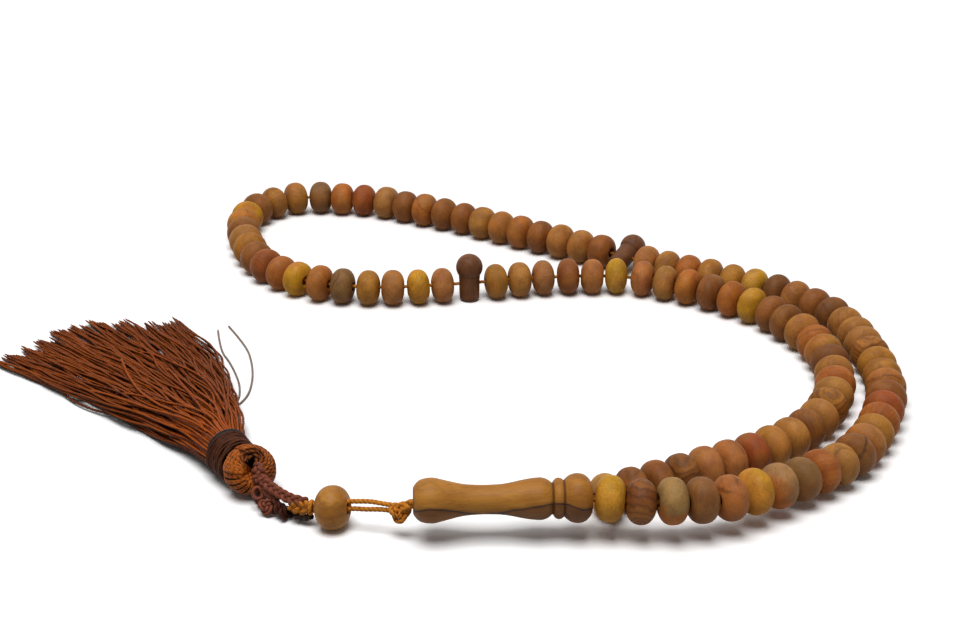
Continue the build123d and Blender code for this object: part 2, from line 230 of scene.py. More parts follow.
def throughBore(profile):  # half of a bore's profile with its mirror image
    return profile + [(-x, r) for x, r in reversed(profile[:-1])]


def endCaps(sides, count):  # the two end faces of a turned solid with count points
    return [np.arange(sides - 1, -1, -1), np.arange(count - sides, count)]


def woodKept(grain, tone, second, rings, veins, under=0):  # what the wood's shader reads on one solid
    full = np.ones(len(grain))
    return {"grain": grain, "tone": np.outer(full, tone), "second": np.outer(full, second),
            "under": full * under, "rings": full * rings, "veins": full * veins}


def smoothLine(keys, count):
    # Catmull-Rom curve through the keys, even in its own parameter.
    keys = np.asarray(keys, float)
    padded = np.vstack([2 * keys[0] - keys[1], keys, 2 * keys[-1] - keys[-2]])
    t = np.linspace(0, len(keys) - 1, count)
    k = np.minimum(t.astype(int), len(keys) - 2)
    f = (t - k)[:, None]
    a, b, c, d = (padded[k + n] for n in range(4))
    return 0.5 * (2 * b + (c - a) * f + (2 * a - 5 * b + 4 * c - d) * f**2 + (3 * b - 3 * c + d - a) * f**3)


def yarns(paths, radius, lobes, lay, sides, depth=0.16, reference=(0, 0, 1), closed=False, extra=None):
    # Twisted yarns: each station's ring is the radius, with lobes that turn once round for each lay of length.
    # paths is (yarns, stations, 3); radius is a number or an array that broadcasts to (yarns, stations).
    paths = np.asarray(paths, float)
    count, stations = paths.shape[:2]
    if closed:
        ahead = np.roll(paths, -1, 1) - np.roll(paths, 1, 1)
    else:
        ahead = np.gradient(paths, axis=1)
    ahead /= np.linalg.norm(ahead, axis=2, keepdims=True)
    up = np.broadcast_to(np.asarray(reference, float), paths.shape)
    up = up - ahead * (up * ahead).sum(2, keepdims=True)
    up = up / np.linalg.norm(up, axis=2, keepdims=True)
    side = np.cross(up, ahead)
    step = np.linalg.norm(np.diff(paths, axis=1), axis=2)
    run = np.concatenate([np.zeros((count, 1)), np.cumsum(step, 1)], 1)
    if closed:
        full = run[:, -1:] + np.linalg.norm(paths[:, :1] - paths[:, -1:], axis=2)
        turns = 2 * np.pi * np.round(full / lay) * run / full
    else:
        turns = 2 * np.pi * run / lay
    lobe = 2 * np.pi * np.arange(sides) / sides
    angle = lobe[None, None, :] + turns[:, :, None]
    groove = 0.5 + 0.5 * np.cos(lobes * lobe)
    radius = np.broadcast_to(np.asarray(radius, float), (count, stations))
    reach = radius[:, :, None] * (1 - depth + depth * groove[None, None, :])
    points = paths[:, :, None, :] + reach[..., None] * (
        np.cos(angle)[..., None] * side[:, :, None, :] + np.sin(angle)[..., None] * up[:, :, None, :])
    spans = stations if closed else stations - 1
    n = np.arange(count)[:, None, None] * stations * sides
    i = np.arange(spans)[None, :, None]
    j = np.arange(sides)[None, None, :]
    after, turn = (i + 1) % stations, (j + 1) % sides
    quads = np.stack([n + i * sides + j, n + i * sides + turn, n + after * sides + turn, n + after * sides + j], -1)
    caps = []
    if not closed:
        for k in range(count):
            first = k * stations * sides
            caps.append(np.arange(first + sides - 1, first - 1, -1))
            caps.append(np.arange(first + (stations - 1) * sides, first + stations * sides))
    kept = {
        "groove": np.broadcast_to(groove, (count, stations, sides)).ravel(),
        "outward": (0.5 + 0.5 * np.sin(angle)).ravel(),
        "run": np.repeat(run.ravel(), sides),
        "shade": np.repeat(chance.random(count), stations * sides),
        "dim": np.zeros(count * stations * sides),
        "bright": np.zeros(count * stations * sides),
    }
    for key, values in (extra or {}).items():
        kept[key] = np.repeat(np.broadcast_to(values, (count, stations)).ravel(), sides)
    return points.reshape(-1, 3), quads.reshape(-1, 4)[:, ::-1], caps, kept


def plait(line, across, wide, thread, repeat, closed=False, extra=None):
    # Three threads that swap sides: each swings across by a sine and up by a sine of twice its angle.
    run = np.concatenate([[0], np.cumsum(np.linalg.norm(np.diff(line, axis=0), axis=1))])
    if closed:
        full = run[-1] + np.linalg.norm(line[0] - line[-1])
        angle = 2 * np.pi * round(full / repeat) * run / full
        ahead = np.roll(line, -1, 0) - np.roll(line, 1, 0)
    else:
        angle = 2 * np.pi * run / repeat
        ahead = np.gradient(line, axis=0)
    ahead /= np.linalg.norm(ahead, axis=1, keepdims=True)
    across = across - ahead * (ahead * across).sum(1, keepdims=True)
    across /= np.linalg.norm(across, axis=1, keepdims=True)
    up = np.cross(ahead, across)
    turns = [angle + 2 * np.pi * k / 3 for k in range(3)]
    wide = np.broadcast_to(wide, angle.shape)
    paths = [line + across * (wide * np.sin(a))[:, None] + up * (0.5 * wide * np.sin(2 * a))[:, None] for a in turns]
    return yarns(np.array(paths), thread, 3, 2.4, 10, 0.1, up + 0.01, closed=closed, extra=extra)


def overhand(size, thick, apart, axes, middle, thread, lay, depth, extra=None):
    # A closed overhand loop, tied with two cords that lie side by side: three lobes that cross over and under.
    t = circle(160)
    flat = np.stack([np.sin(t) + 2 * np.sin(2 * t), np.cos(t) - 2 * np.cos(2 * t), 0 * t], 1) * size
    ahead = np.roll(flat, -1, 0) - np.roll(flat, 1, 0)
    side = np.cross(ahead, (0, 0, 1.0))
    side /= np.linalg.norm(side, axis=1, keepdims=True)
    lift = np.stack([0 * t, 0 * t, -np.sin(3 * t) * thick], 1)
    paths = np.array([flat + lift + side * s * apart for s in (-1, 1)]) @ axes + middle
    return yarns(paths, thread, 3, lay, 12, depth, paths - middle + 0.001, closed=True, extra=extra)


def joined(*parts):  # several (points, quads, caps, attributes) as one
    points, quads, caps, kept, first = [], [], [], {}, 0
    for p, q, c, k in parts:
        points.append(p)
        quads.append(q + first)
        caps += [cap + first for cap in c]
        for key, values in k.items():
            kept.setdefault(key, []).append(values)
        first += len(p)
    return np.vstack(points), np.vstack(quads), caps, {key: np.concatenate(v) for key, v in kept.items()}


def readSpline(name, route, closed=False):
    # The points, in millimetres, of an order 3 NURBS spline with the route's points as its control points.
    curve = bpy.data.curves.new(name, "CURVE")
    curve.dimensions = "3D"
    curve.resolution_u = 12
    spline = curve.splines.new("NURBS")
    spline.points.add(len(route) - 1)
    for point, place in zip(spline.points, route):
        point.co = (place[0] * mm, place[1] * mm, place[2] * mm, 1)
    spline.order_u = 3
    spline.use_cyclic_u = closed
    spline.use_endpoint_u = not closed
    holder = bpy.data.objects.new(name, curve)
    bpy.context.scene.collection.objects.link(holder)
    bpy.context.view_layer.update()
    mesh = bpy.data.meshes.new_from_object(holder)
    line = np.array([v.co for v in mesh.vertices]) / mm
    bpy.data.objects.remove(holder)
    bpy.data.curves.remove(curve)
    bpy.data.meshes.remove(mesh)
    return line


def even(line, gap, closed=False):  # the line with stations about gap apart
    if closed:
        line = np.vstack([line, line[:1]])
    run = np.concatenate([[0], np.cumsum(np.linalg.norm(np.diff(line, axis=0), axis=1))])
    count = max(3, int(round(run[-1] / gap)) + 1)
    at = np.linspace(0, run[-1], count)
    points = np.stack([np.interp(at, run, line[:, k]) for k in range(3)], 1)
    return points[:-1] if closed else points


cameraFacts = {"place": (7.10, -326.52, 143.0), "down": 22.93, "lens": 63.75, "sensor": 36}
camera = bpy.data.objects.new("camera", bpy.data.cameras.new("camera"))
bpy.context.scene.collection.objects.link(camera)
camera.location = [v * mm for v in cameraFacts["place"]]
camera.rotation_euler = (math.radians(90 - cameraFacts["down"]), 0, 0)
camera.data.lens, camera.data.sensor_width = cameraFacts["lens"], cameraFacts["sensor"]
bpy.context.scene.camera = camera
bpy.context.scene.view_settings.view_transform = "Standard"

studio = {"white": 1.3, "whiter": 8, "from": 80, "to": 880, "bounce": 0.4, "sky": 0.1, "table": 3000, "under": 0.02}
# power, size and place of each lamp: a small one overhead in front, a broad one above
lamps = {"key": (4.4, 450, (-60, -240, 740)), "broad": (1.1, 600, (-80, 110, 780))}


def grey(level):
    return (level, level, level, 1)


def makeStudio():
    # The table is white to look at and keeps its shadows; the light that it throws back is a grey table's.
    diffuse = "ShaderNodeBsdfDiffuse"
    table = Shader("table")
    far = table.add("ShaderNodeVectorMath", {"operation": "LENGTH"}, {0: table.place()}, 1)
    # whiter far off, where less lamp light falls
    white = far.ramp(studio["from"], studio["to"]) * studio["whiter"] + studio["white"]
    table = table.finishTwice(diffuse, {"Color": white}, {"Color": grey(studio["bounce"])})
    points = np.array([(-1, -1, 0), (1, -1, 0), (1, 1, 0), (-1, 1, 0)]) * studio["table"] / 2
    points[:, 2] = -studio["under"]
    floor = makeMesh("table", points, np.array([[0, 1, 2, 3]]))
    floor.data.materials.append(table)
    white = {"Color": grey(1.0)}
    sky = {"Color": grey(1.0), "Strength": studio["sky"]}
    bpy.context.scene.world = Shader("studio", True).finishTwice("ShaderNodeBackground", white, sky)
    for name, (power, size, (x, y, z)) in lamps.items():
        lamp = bpy.data.lights.new(name, "AREA")
        lamp.shape, lamp.size, lamp.energy = "SQUARE", size * mm, power
        holder = bpy.data.objects.new(name, lamp)
        bpy.context.scene.collection.objects.link(holder)
        holder.location = (x * mm, y * mm, z * mm)
        holder.rotation_euler = (math.atan2(-y, z), math.atan2(x, math.hypot(y, z)), 0)


makeStudio()
say("camera, table and light")

bead = {"wide": 8.0, "thick": 4.95, "face": 3.0, "bore": 2.1, "sides": 44, "rise": 19, "follow": 0.36}
snug, easy, slack, loose = 1.02, 1.07, 1.088, 1.14  # pitches in thicknesses
startTurn, imameTurn, mouthGap, markerSpace = -8, 2, 0.9, 6.6
mouthPlace = np.array([25.50, -80.87, 7.4])
mouthLift = [1.0, 0.91, 0.75, 0.31, 0.015]  # how far the first corners hang above the table
# how many beads, the turn before them in degrees, and their pitch in thicknesses
outerRuns = [(2, 0, snug), (2, 18, snug), (3, 24, snug), (3, 7, snug), (2, 16, snug), (2, 9, snug), (2, 6, snug),
             (2, 13, snug), (2, 8, snug), (2, 2, snug), (2, 14, easy), (3, 21, easy), (3, 19, easy), (3, -3, easy)]
farRuns = [(4, 3, loose), (4, -1, loose), (4, 6, loose), (3, 20, loose), (1, 33, loose), (1, 20, loose),
           (1, 21, loose), (1, 18, loose), (1, 12, loose), (1, 7, loose), (1, 4, loose), (1, 4, loose),
           (1, 6, loose), (1, 8, loose), (2, 16, slack), (2, 24, slack), (2, 17, slack), (2, 10, slack)]
innerRuns = [(3, 1, slack), (3, -11, slack), (3, -29, slack), (3, -15, slack), (3, -21, slack), (2, -17, snug),
             (2, -11, snug), (2, -13, snug), (2, -14, snug), (2, -14, snug), (2, -10, snug), (3, -8, snug),
             (3, -1, snug)]


def layString():
    # Each straight run's name, start, direction, length before its beads, beads, pitch and yaws at its ends.
    plan = [("outer_%02d" % (i + 1), n, t, p * bead["thick"]) for i, (n, t, p) in enumerate(outerRuns)]
    plan.append(("marker_2", 0, -4, 0))
    plan += [("far_%02d" % (i + 1), n, t, p * bead["thick"]) for i, (n, t, p) in enumerate(farRuns)]
    plan.append(("marker_1", 0, 1, 0))
    plan += [("inner_%02d" % (i + 1), n, t, p * bead["thick"]) for i, (n, t, p) in enumerate(innerRuns)]
    opening = [0] + [bead["face"] / 2 * math.tan(math.radians(abs(t)) / 2) for _, n, t, _ in plan[1:]] + [0]
    rest, heading = bead["wide"] / 2, startTurn
    corner = mouthPlace[:2] + mouthGap * towards(imameTurn)[:2]
    runs, corners = [], []
    for k, (name, n, turn, pitch) in enumerate(plan):
        heading += turn
        full = (n * pitch if n else markerSpace) + opening[k] + opening[k + 1]
        after = corner + full * towards(heading)[:2]
        ends = []
        for point, index in ((corner, k), (after, k + 1)):
            lift = mouthLift[index] if index < len(mouthLift) else 0
            ends.append(np.array([point[0], point[1], rest + (mouthPlace[2] - rest) * lift]))
        corners.append(ends[0])
        along = (ends[1] - ends[0]) / np.linalg.norm(ends[1] - ends[0])
        turnAfter = plan[k + 1][2] if k + 1 < len(plan) else turn
        around = [math.radians(t) * bead["follow"] for t in (-turn, turnAfter)]
        runs.append((name, ends[0], along, opening[k], n, pitch, around))
        corner = after
    corners.append(ends[1])
    return runs, corners


runs, corners = layString()
runOf = {run[0]: run for run in runs}

# tones of the wood: yellow, golden, tan, orange, sandy, brown, reddish, olive, greyish, dark and pale
tones = {
    "y": (206, 150, 36), "g": (184, 122, 46), "t": (180, 120, 56), "o": (184, 107, 42), "s": (180, 114, 60),
    "b": (152, 92, 40), "r": (166, 84, 36), "e": (140, 101, 57), "h": (164, 124, 74), "d": (130, 80, 36),
    "p": (196, 146, 74),
}
secondTones = "gotesb"


def makeWood(name, grainMm, dark, figure, roughness):
    # Growth rings about the grain's Z axis, bent by noise, with fine fibres along it and a few dark veins.
    shader = Shader(name)
    grain = shader.kept("grain", 1)
    tone, second = shader.kept("tone", 1), shader.kept("second", 1)
    veins, rings = shader.kept("veins"), shader.kept("rings")
    bend = shader.noise(grain, 0.22, 3.0, 0.5) - 0.5
    small = shader.noise(grain, 0.9, 3.0, 0.55) - 0.5
    x, y = shader.along(grain, 0), shader.along(grain, 1)
    reach = (x * x + y * y) ** 0.5 + bend * 2.6 + small * 0.3
    fine = (reach * (2 * math.pi / grainMm)).sine() * 0.5 + 0.5
    broad = (reach * (2 * math.pi / (grainMm * 4.3)) + bend * 4).sine() * 0.5 + 0.5
    fibre = shader.noise(shader.stretched(grain, 5.0, 5.0, 0.45), 1.0, 3.0, 0.6)
    pores = shader.noise(shader.stretched(grain, 7.5, 7.5, 1.0), 1.0, 1.0, 0.5).ramp(0.66, 0.76)
    patch = (shader.noise(grain, 0.16, 2.0, 0.5) + bend * 0.4 + shader.kept("under")).ramp(0.42, 0.6)
    colour = shader.mixed(patch, tone, second)
    late = (fine ** 2.0) * rings * rings
    colour = shader.mixed((late * (0.3 * figure)).least(0.8), colour, dark)
    brown = shader.times(colour, 0.5, 0.4, 0.32)
    colour = shader.mixed((broad * rings * (0.62 * figure)).least(0.9), colour, brown)
    cloud = shader.noise(grain, 0.34, 3.0, 0.5)
    colour = shader.mixed(cloud.ramp(0.56, 0.36) * 0.42, colour, brown)
    colour = shader.mixed(cloud.ramp(0.5, 0.7) * 0.5, colour, shader.times(colour, 1.32, 1.28, 1.2))
    colour = shader.mixed((fibre - 0.36) * 1.1, colour, shader.times(colour, 1.22, 1.2, 1.12))
    colour = shader.mixed(fibre.ramp(0.6, 0.3) * 0.22, colour, dark)
    colour = shader.mixed(pores * 0.3, colour, dark)
    gap = ((reach / (grainMm * 5.6) + 0.31).part() - 0.5).size() * (grainMm * 5.6)
    patchy = shader.noise(grain, 0.5, 2.0, 0.5).ramp(0.34, 0.56)
    vein = gap.ramp(0.3, 0.03) * veins * patchy
    halo = gap.ramp(1.1, 0.1) * veins * 0.3
    colour = shader.mixed(halo, colour, shader.times(colour, 0.5, 0.4, 0.34))
    colour = shader.mixed(vein * 0.82, colour, dark)
    rough = fibre * 0.22 + roughness - 0.1 + pores * 0.1
    height = shader.bump(fibre * 0.6 - pores * 0.8 - vein * 0.7 + fine * 0.25, 0.035)
    return shader.finish(Base_Color=colour, Roughness=rough, Specular_IOR_Level=0.22, Normal=height)


beadWood = makeWood("beadOliveWood", 0.8, tint(58, 34, 20), 1.0, 0.56)


def randomTurn():
    return np.linalg.qr(chance.normal(size=(3, 3)))[0]


def beadProfile(power, wide, thick):
    # A rondelle: a rounded superellipse between its two faces, then back through the bore with eased edges.
    half, radius, bore = thick / 2, wide / 2, bead["bore"] / 2
    start = math.acos(min(1, (bead["face"] / 2 / radius) ** (power / 2)))
    angle = np.linspace(-start, start, bead["rise"])
    along = half * np.sign(np.sin(angle)) * np.abs(np.sin(angle)) ** (2 / power)
    along *= half / np.abs(along).max()
    outer = np.stack([along, radius * np.abs(np.cos(angle)) ** (2 / power)], 1)
    inner = [(half - 0.02, bore + 0.2), (half - 0.12, bore + 0.06), (half - 0.4, bore), (0, bore)]
    return np.vstack([outer, throughBore(inner)])


# each bead's tone and figure, in the string's order
beadLooks = {
    "outer": ("ybhbsyheotbogorbtgggtttdbtdyggots", ".Rkrv.k.rvc..r..vr.R..rv.rr..r.r."),
    "far": ("bttbottbbobtroegtbygbtgbroyoegsys", "...r.....v..r...r..v....r...v..r."),
    "inner": ("gtsbsystoboybbgotdtotgtbtgrssbbbp", "..r...v..r...r.v..r..R.r...v.RrR."),
}
# each figure's share of rings, of veins and of the second tone
beadFigures = {".": (0.25, 0.0, 0.5), "r": (0.65, 0.0, 0.5), "R": (1.25, 0.0, 0.3), "k": (0.2, 0.0, 0.9),
               "v": (0.2, 0.6, 0.45), "V": (0.45, 0.9, 0.5), "c": (0.3, 1.0, 0.45)}
# the first beads sit a little closer to the imame, and a little higher
mouthCloser = {"outer_01": (0.42, 0.42), "outer_02": (0.75, 0.8), "outer_03": (1.32, 0.5), "outer_04": (0.2, 0)}
mouthHigher = {"outer_01": 0.15, "outer_02": 0.4, "outer_03": 0.3, "outer_04": 0.3, "outer_05": 0.15}
# the range of a bead's thickness for each pitch
beadPlump = {snug: (0.985, 1.015), easy: (1.02, 1.05), slack: (0.95, 1.02), loose: (1.08, 1.12)}


def makeBeads():
    # Each bead varies a little in width, thickness, roundness, yaw, nod and grain.
    counts = {"outer": 0, "far": 0, "inner": 0}
    for name, start, along, before, count, pitch, around in runs:
        if not count:
            continue
        part = name.split("_")[0]
        axes = frameAt(along)
        low, high = beadPlump[min(beadPlump, key=lambda p: abs(p * bead["thick"] - pitch))]
        pieces = []
        for j in range(count):
            letter, mark = (look[counts[part]] for look in beadLooks[part])
            counts[part] += 1
            rings, veins, share = beadFigures[mark]
            wide = bead["wide"] * chance.uniform(0.955, 1.0)
            thick = bead["thick"] * chance.uniform(low, high)
            points, quads = spin(beadProfile(chance.uniform(2.15, 2.5), wide, thick), bead["sides"], True)
            local = points.copy()
            closer = np.interp(j, (0, max(1, count - 1)), mouthCloser.get(name, (0, 0)))
            yaw = np.interp((j + 0.5) / count, (0, 1), around) + math.radians(chance.uniform(-1.5, 1.5))
            nod = math.radians(chance.uniform(-2, 2))
            tilt = np.array([[math.cos(yaw), math.sin(yaw), nod], [-math.sin(yaw), math.cos(yaw), 0], [-nod, 0, 1]])
            place = start + along * (before + (j + 0.5) * pitch - closer)
            drop = (bead["wide"] - wide) / 2
            higher = mouthHigher.get(name, 0)
            points = points @ tilt @ axes + place - np.array([0, 0, drop - higher])
            offset = chance.uniform(-1, 1, 3) * np.array([9, 9, 30]) + np.array([4, 0, 0])
            grain = local @ randomTurn() + offset
            if mark == "R":  # rings about the bead's underside, end grain forwards
                grain = (local[:, [0, 2, 1]] + np.array([0.3, 2.6, 0])) * np.array([0.9, 0.9, 1])
            tone = np.array(tint(*tones[letter])[:3]) * (1 + chance.normal(0, 0.03, 3))
            other = np.array(tint(*tones["o" if mark == "k" else chance.choice(list(secondTones))])[:3])
            second = tone * (1 - share) + other * share * tone.sum() / other.sum()
            under = np.clip(-local[:, 2] * 0.09 - 0.02, -0.4, 0.4) if mark == "k" else 0
            pieces.append((points, quads, [], woodKept(grain, tone, second, rings, veins, under)))
        piece = makeMesh(name + "_turned", *joined(*pieces))
        dress(piece, beadWood, name, name)


makeBeads()
say("ninety-nine beads")

marker = {"tall": 10.7, "shank": 4.5, "neck": 4.7, "knob": 5.9, "boreHigh": 4.0, "lean": 70, "sides": 40}
markerWood = makeWood("markerWood", 0.7, tint(38, 22, 14), 1.0, 0.5)


def makeMarkers():
    # A knob on a shank whose foot is rounded about the bore; the second marker has fallen over.
    knobMiddle = marker["tall"] - marker["knob"] / 2
    neckHigh = knobMiddle - math.sqrt(marker["knob"] ** 2 - marker["neck"] ** 2) / 2
    foot = [(marker["boreHigh"] - math.sqrt(marker["boreHigh"] ** 2 - r**2), r) for r in (0.15, 0.8, 1.5, 2.0, 2.15)]
    shank = [(2.2, marker["shank"] / 2), (neckHigh - 1.4, marker["shank"] / 2 + 0.02), (neckHigh, marker["neck"] / 2)]
    knob = [(knobMiddle + marker["knob"] / 2 * math.sin(math.radians(a)),
             marker["knob"] / 2 * math.cos(math.radians(a))) for a in range(-48, 85, 12)]
    profile = smoothLine([(x - marker["boreHigh"], r) for x, r in foot + shank + knob], 60)
    profile[:, 1] = np.maximum(profile[:, 1], 0.12)
    for name, lean in (("marker_1", 0), ("marker_2", marker["lean"])):
        start, along, before = runOf[name][1:4]
        middle = start + along * (before + markerSpace / 2)
        points, quads = spin(profile, marker["sides"], False)
        caps = [cap[::-1] for cap in endCaps(marker["sides"], len(points))]
        axes = frameAt(along)
        turn = math.radians(lean)
        upright = axes[2] * math.cos(turn) - axes[1] * math.sin(turn)
        across = axes[1] * math.cos(turn) + axes[2] * math.sin(turn)
        grain = points[:, [1, 2, 0]] + np.array([5.5, 3.0, 0])
        solid = points @ np.array([upright, across, axes[0]]) + middle
        kept = woodKept(grain, tint(128, 80, 44)[:3], tint(104, 62, 32)[:3], 0.5, 0.3)
        node = name.replace("_", "_bead_")
        piece = makeMesh(node + "_turned", solid, quads[:, ::-1], caps, kept)
        dress(piece, markerWood, node, node)


makeMarkers()

imame = {"long": 29.4, "bore": 2.8, "sides": 72, "stations": 170, "firstGroove": 22.88, "secondGroove": 24.74}
imameAxes = frameAt(towards(imameTurn))
# distance from the tail end and radius
imameKeys = [(0.0, 1.75), (0.02, 2.1), (0.18, 2.45), (0.5, 2.88), (0.85, 3.2), (1.25, 3.45), (2.1, 3.68), (2.9, 3.75),
             (3.7, 3.7), (4.6, 3.47), (6.2, 3.07), (7.9, 2.69), (9.5, 2.5), (11.3, 2.42), (12.9, 2.44), (14.5, 2.52),
             (16.1, 2.76), (17.7, 3.1), (19.3, 3.37), (20.7, 3.49), (21.4, 3.42), (22.0, 3.2), (22.45, 2.9),
             (22.72, 2.66), (22.85, 2.62), (22.95, 2.75), (23.2, 3.1), (23.55, 3.34), (23.9, 3.4), (24.25, 3.34),
             (24.55, 3.15), (24.72, 3.02), (24.85, 3.08), (25.15, 3.4), (25.7, 3.78), (26.4, 4.03), (27.1, 4.1),
             (27.8, 3.98), (28.4, 3.68), (28.9, 3.2), (29.2, 2.72), (29.36, 2.3), (29.4, 1.9)]
# height of the dark line under the axis, seen at the camera's slope
lineKeys = [(0, 1.5), (1.2, 1.35), (2.8, 1.12), (5.2, 1.3), (7.7, 1.75), (9.6, 2.15), (11.5, 2.28), (13.4, 2.2),
            (14.6, 2.0), (16.0, 1.6), (19.2, 1.12), (22.5, 0.58), (24.9, 0.66), (26.2, 1.15), (27.4, 1.5), (29.4, 1.45)]


def makeImame():
    # The outline and the bore turned about the axis; a dark line in the wood follows a height along it.
    long, bore = imame["long"], imame["bore"] / 2
    inner = [(long - 0.3, bore + 0.1), (long - 0.9, bore), (0.9, bore), (0.25, bore + 0.08)]
    points, quads = spin(np.vstack([smoothLine(imameKeys, imame["stations"]), inner]), imame["sides"], True)
    keys = np.array(lineKeys)
    lineAt = np.linspace(-2, 32, 341)
    bend = np.hanning(31) / np.hanning(31).sum()
    lineHigh = np.convolve(np.pad(np.interp(lineAt, keys[:, 0], keys[:, 1]), 15, "edge"), bend, "valid")
    slope = math.radians(cameraFacts["down"])
    high = points[:, 1] * math.sin(slope) + points[:, 2] * math.cos(slope)
    sheet = high + np.interp(points[:, 0], lineAt, lineHigh)
    grain = np.stack([points[:, 1] + 14, points[:, 2] + 5 - 0.05 * points[:, 0], points[:, 0]], 1)
    kept = {"grain": grain, "sheet": sheet, "down": points[:, 0]}
    solid = (points - np.array([long, 0, 0])) @ imameAxes + mouthPlace
    shader = Shader("imameOliveWood")
    grain = shader.kept("grain", 1)
    down = shader.kept("down")
    wander = (shader.noise(grain, 0.3, 3.0, 0.5) - 0.5) * 0.5
    level = shader.kept("sheet") + wander
    fibre = shader.noise(shader.stretched(grain, 3.4, 3.4, 0.16), 1.0, 4.0, 0.6)
    hair = shader.noise(shader.stretched(grain, 9.0, 9.0, 0.5), 1.0, 2.0, 0.5)
    cloud = shader.noise(shader.stretched(grain, 0.35, 0.35, 0.12), 1.0, 3.0, 0.5)
    upper = shader.mixed(cloud.ramp(0.35, 0.65), tint(186, 127, 52), tint(168, 110, 42))
    lower = shader.mixed(cloud.ramp(0.4, 0.6), tint(138, 90, 44), tint(114, 72, 34))
    colour = shader.mixed(level.ramp(-0.08, 0.08), lower, upper)
    bands = ((level * 3.4 + cloud * 7).sine() * 0.5 + 0.5) * 0.2
    colour = shader.mixed(bands, colour, shader.times(colour, 0.66, 0.55, 0.45))
    colour = shader.mixed(down.ramp(22.0, 27.0) * 0.35, colour, shader.times(colour, 0.72, 0.6, 0.5))
    colour = shader.mixed((fibre - 0.4) * 0.9, colour, shader.times(colour, 1.3, 1.27, 1.2))
    colour = shader.mixed(fibre.ramp(0.52, 0.3) * 0.3, colour, tint(88, 54, 26))
    colour = shader.mixed(hair.ramp(0.62, 0.72) * 0.2, colour, tint(78, 48, 24))
    nearLine = level.size() - (cloud - 0.5) * 0.4
    colour = shader.mixed(nearLine.ramp(0.75, 0.05) * 0.5, colour, tint(80, 48, 29))
    colour = shader.mixed(nearLine.ramp(0.2, 0.07) * 0.88, colour, tint(40, 26, 20))
    # painted shade in the two turned grooves
    grooves = (down - imame["firstGroove"]).size().least((down - imame["secondGroove"]).size())
    colour = shader.mixed(grooves.ramp(0.32, 0.04) * 0.8, colour, tint(52, 32, 18))
    colour = shader.mixed(down.ramp(0.4, 0.0) * 0.6, colour, tint(70, 42, 22))
    height = shader.bump(fibre * 0.5 + hair * 0.4 - nearLine.ramp(0.15, 0.02) * 0.6, 0.03)
    wood = shader.finish(Base_Color=colour, Roughness=fibre * 0.18 + 0.4, Specular_IOR_Level=0.18, Normal=height)
    dress(makeMesh("imame_turned", solid, quads, [], kept), wood, "imame", "imame")


makeImame()
say("markers and imame")

cord = {"wide": 0.8, "lay": 2.3, "lobes": 3, "sides": 6, "apart": 0.4, "stations": 0.3}
facing = np.array([(1, 0, 0), (0, 0.6, 0.8), (0, -0.8, 0.6)])  # axes of a knot that faces forwards
knotPlace = mouthPlace + np.array([-31.6, 0.15, -2.7])
tailStart = mouthPlace + np.array([-46.15, 3.85, -3.95])
tailStop = mouthPlace + np.array([-33.15, 0.85, -2.45])
tailAxes = frameAt(tailStop - tailStart)


def makeThread(name, light, deep, vary, coarse, litFacing, plied):
    # Twisted thread with painted light and shade: lit on its plies and on the side that faces out, painted shade in its
    # grooves, on the side that faces in and between its neighbours.
    shader = Shader(name)
    groove, run, shade, outward = (shader.kept(key) for key in ("groove", "run", "shade", "outward"))
    place = shader.place()
    fine = shader.noise(place, coarse, 3.0, 0.6)
    soft = shader.noise(place, coarse * 0.09, 2.0, 0.5)
    patchy = shader.noise(place, coarse * 0.2, 2.0, 0.5)
    ply = 1 - (1 - groove) * (patchy.ramp(0.3, 0.6) * 0.6 + 0.4) * plied
    # painted light and shade: plies and outward faces lit, grooves and inward faces painted dark
    lit = (ply + (fine - 0.5) * 0.6 + (run * 9.0).sine() * 0.04).ramp(-0.1, 1.0) * outward.ramp(*litFacing)
    colour = shader.mixed(lit, deep, light)
    worn = (shade * 0.7 + (soft - 0.5) * 1.2).ramp(0.1, 0.9) * vary
    colour = shader.mixed(worn, colour, shader.times(colour, 0.42, 0.35, 0.3))
    # dim: a darker copy, used as painted shade between and under parts; on the hanger it is partly the cord's own black
    # too
    colour = shader.mixed(shader.kept("dim"), colour, shader.times(colour, 0.2, 0.17, 0.16))
    vivid = shader.times(colour, 1.6, 1.5, 1.3)
    # bright: a lighter copy; on the skirt near the neck it is a painted highlight
    colour = shader.mixed(shader.kept("bright"), colour, vivid)
    colour = shader.mixed((fine - 0.5) * 1.4, colour, vivid)
    height = shader.bump(fine * 0.5 + groove * 0.3, 0.04)
    return shader.finish(Base_Color=colour, Roughness=fine * 0.25 + 0.42, Specular_IOR_Level=0.1, Normal=height)


# each thread's lit colour, its painted-shade colour, random darkening, noise scale, the facing over which it runs from
# painted shade to lit, and the plies' depth of painted shade
goldCord = makeThread("goldTwistedCord", tint(218, 138, 46), tint(84, 38, 8), 0.15, 9.0, (-0.4, 0.35), 0.75)
maroonCord = makeThread("maroonCrochetCord", tint(140, 78, 58), tint(40, 19, 14), 0.3, 9.0, (-0.1, 0.55), 0.6)
rustYarn = makeThread("rustViscoseYarn", tint(202, 108, 36), tint(22, 8, 3), 0.95, 6.0, (0.5, 1.0), 0.95)
rustSkirt = makeThread("rustSkirtYarn", tint(142, 68, 17), tint(24, 9, 3), 0.95, 8.0, (0.1, 0.9), 0.35)
brownThread = makeThread("brownWindingThread", tint(78, 40, 20), tint(14, 6, 3), 0.85, 7.0, (0.3, 0.9), 0.4)
blackThread = makeThread("blackBandThread", tint(46, 42, 40), tint(8, 7, 7), 0.4, 10.0, (0.2, 0.8), 0.5)


def onTail(points):  # from the tail's own frame: forward, left, up
    return np.asarray(points, float) @ tailAxes + tailStart


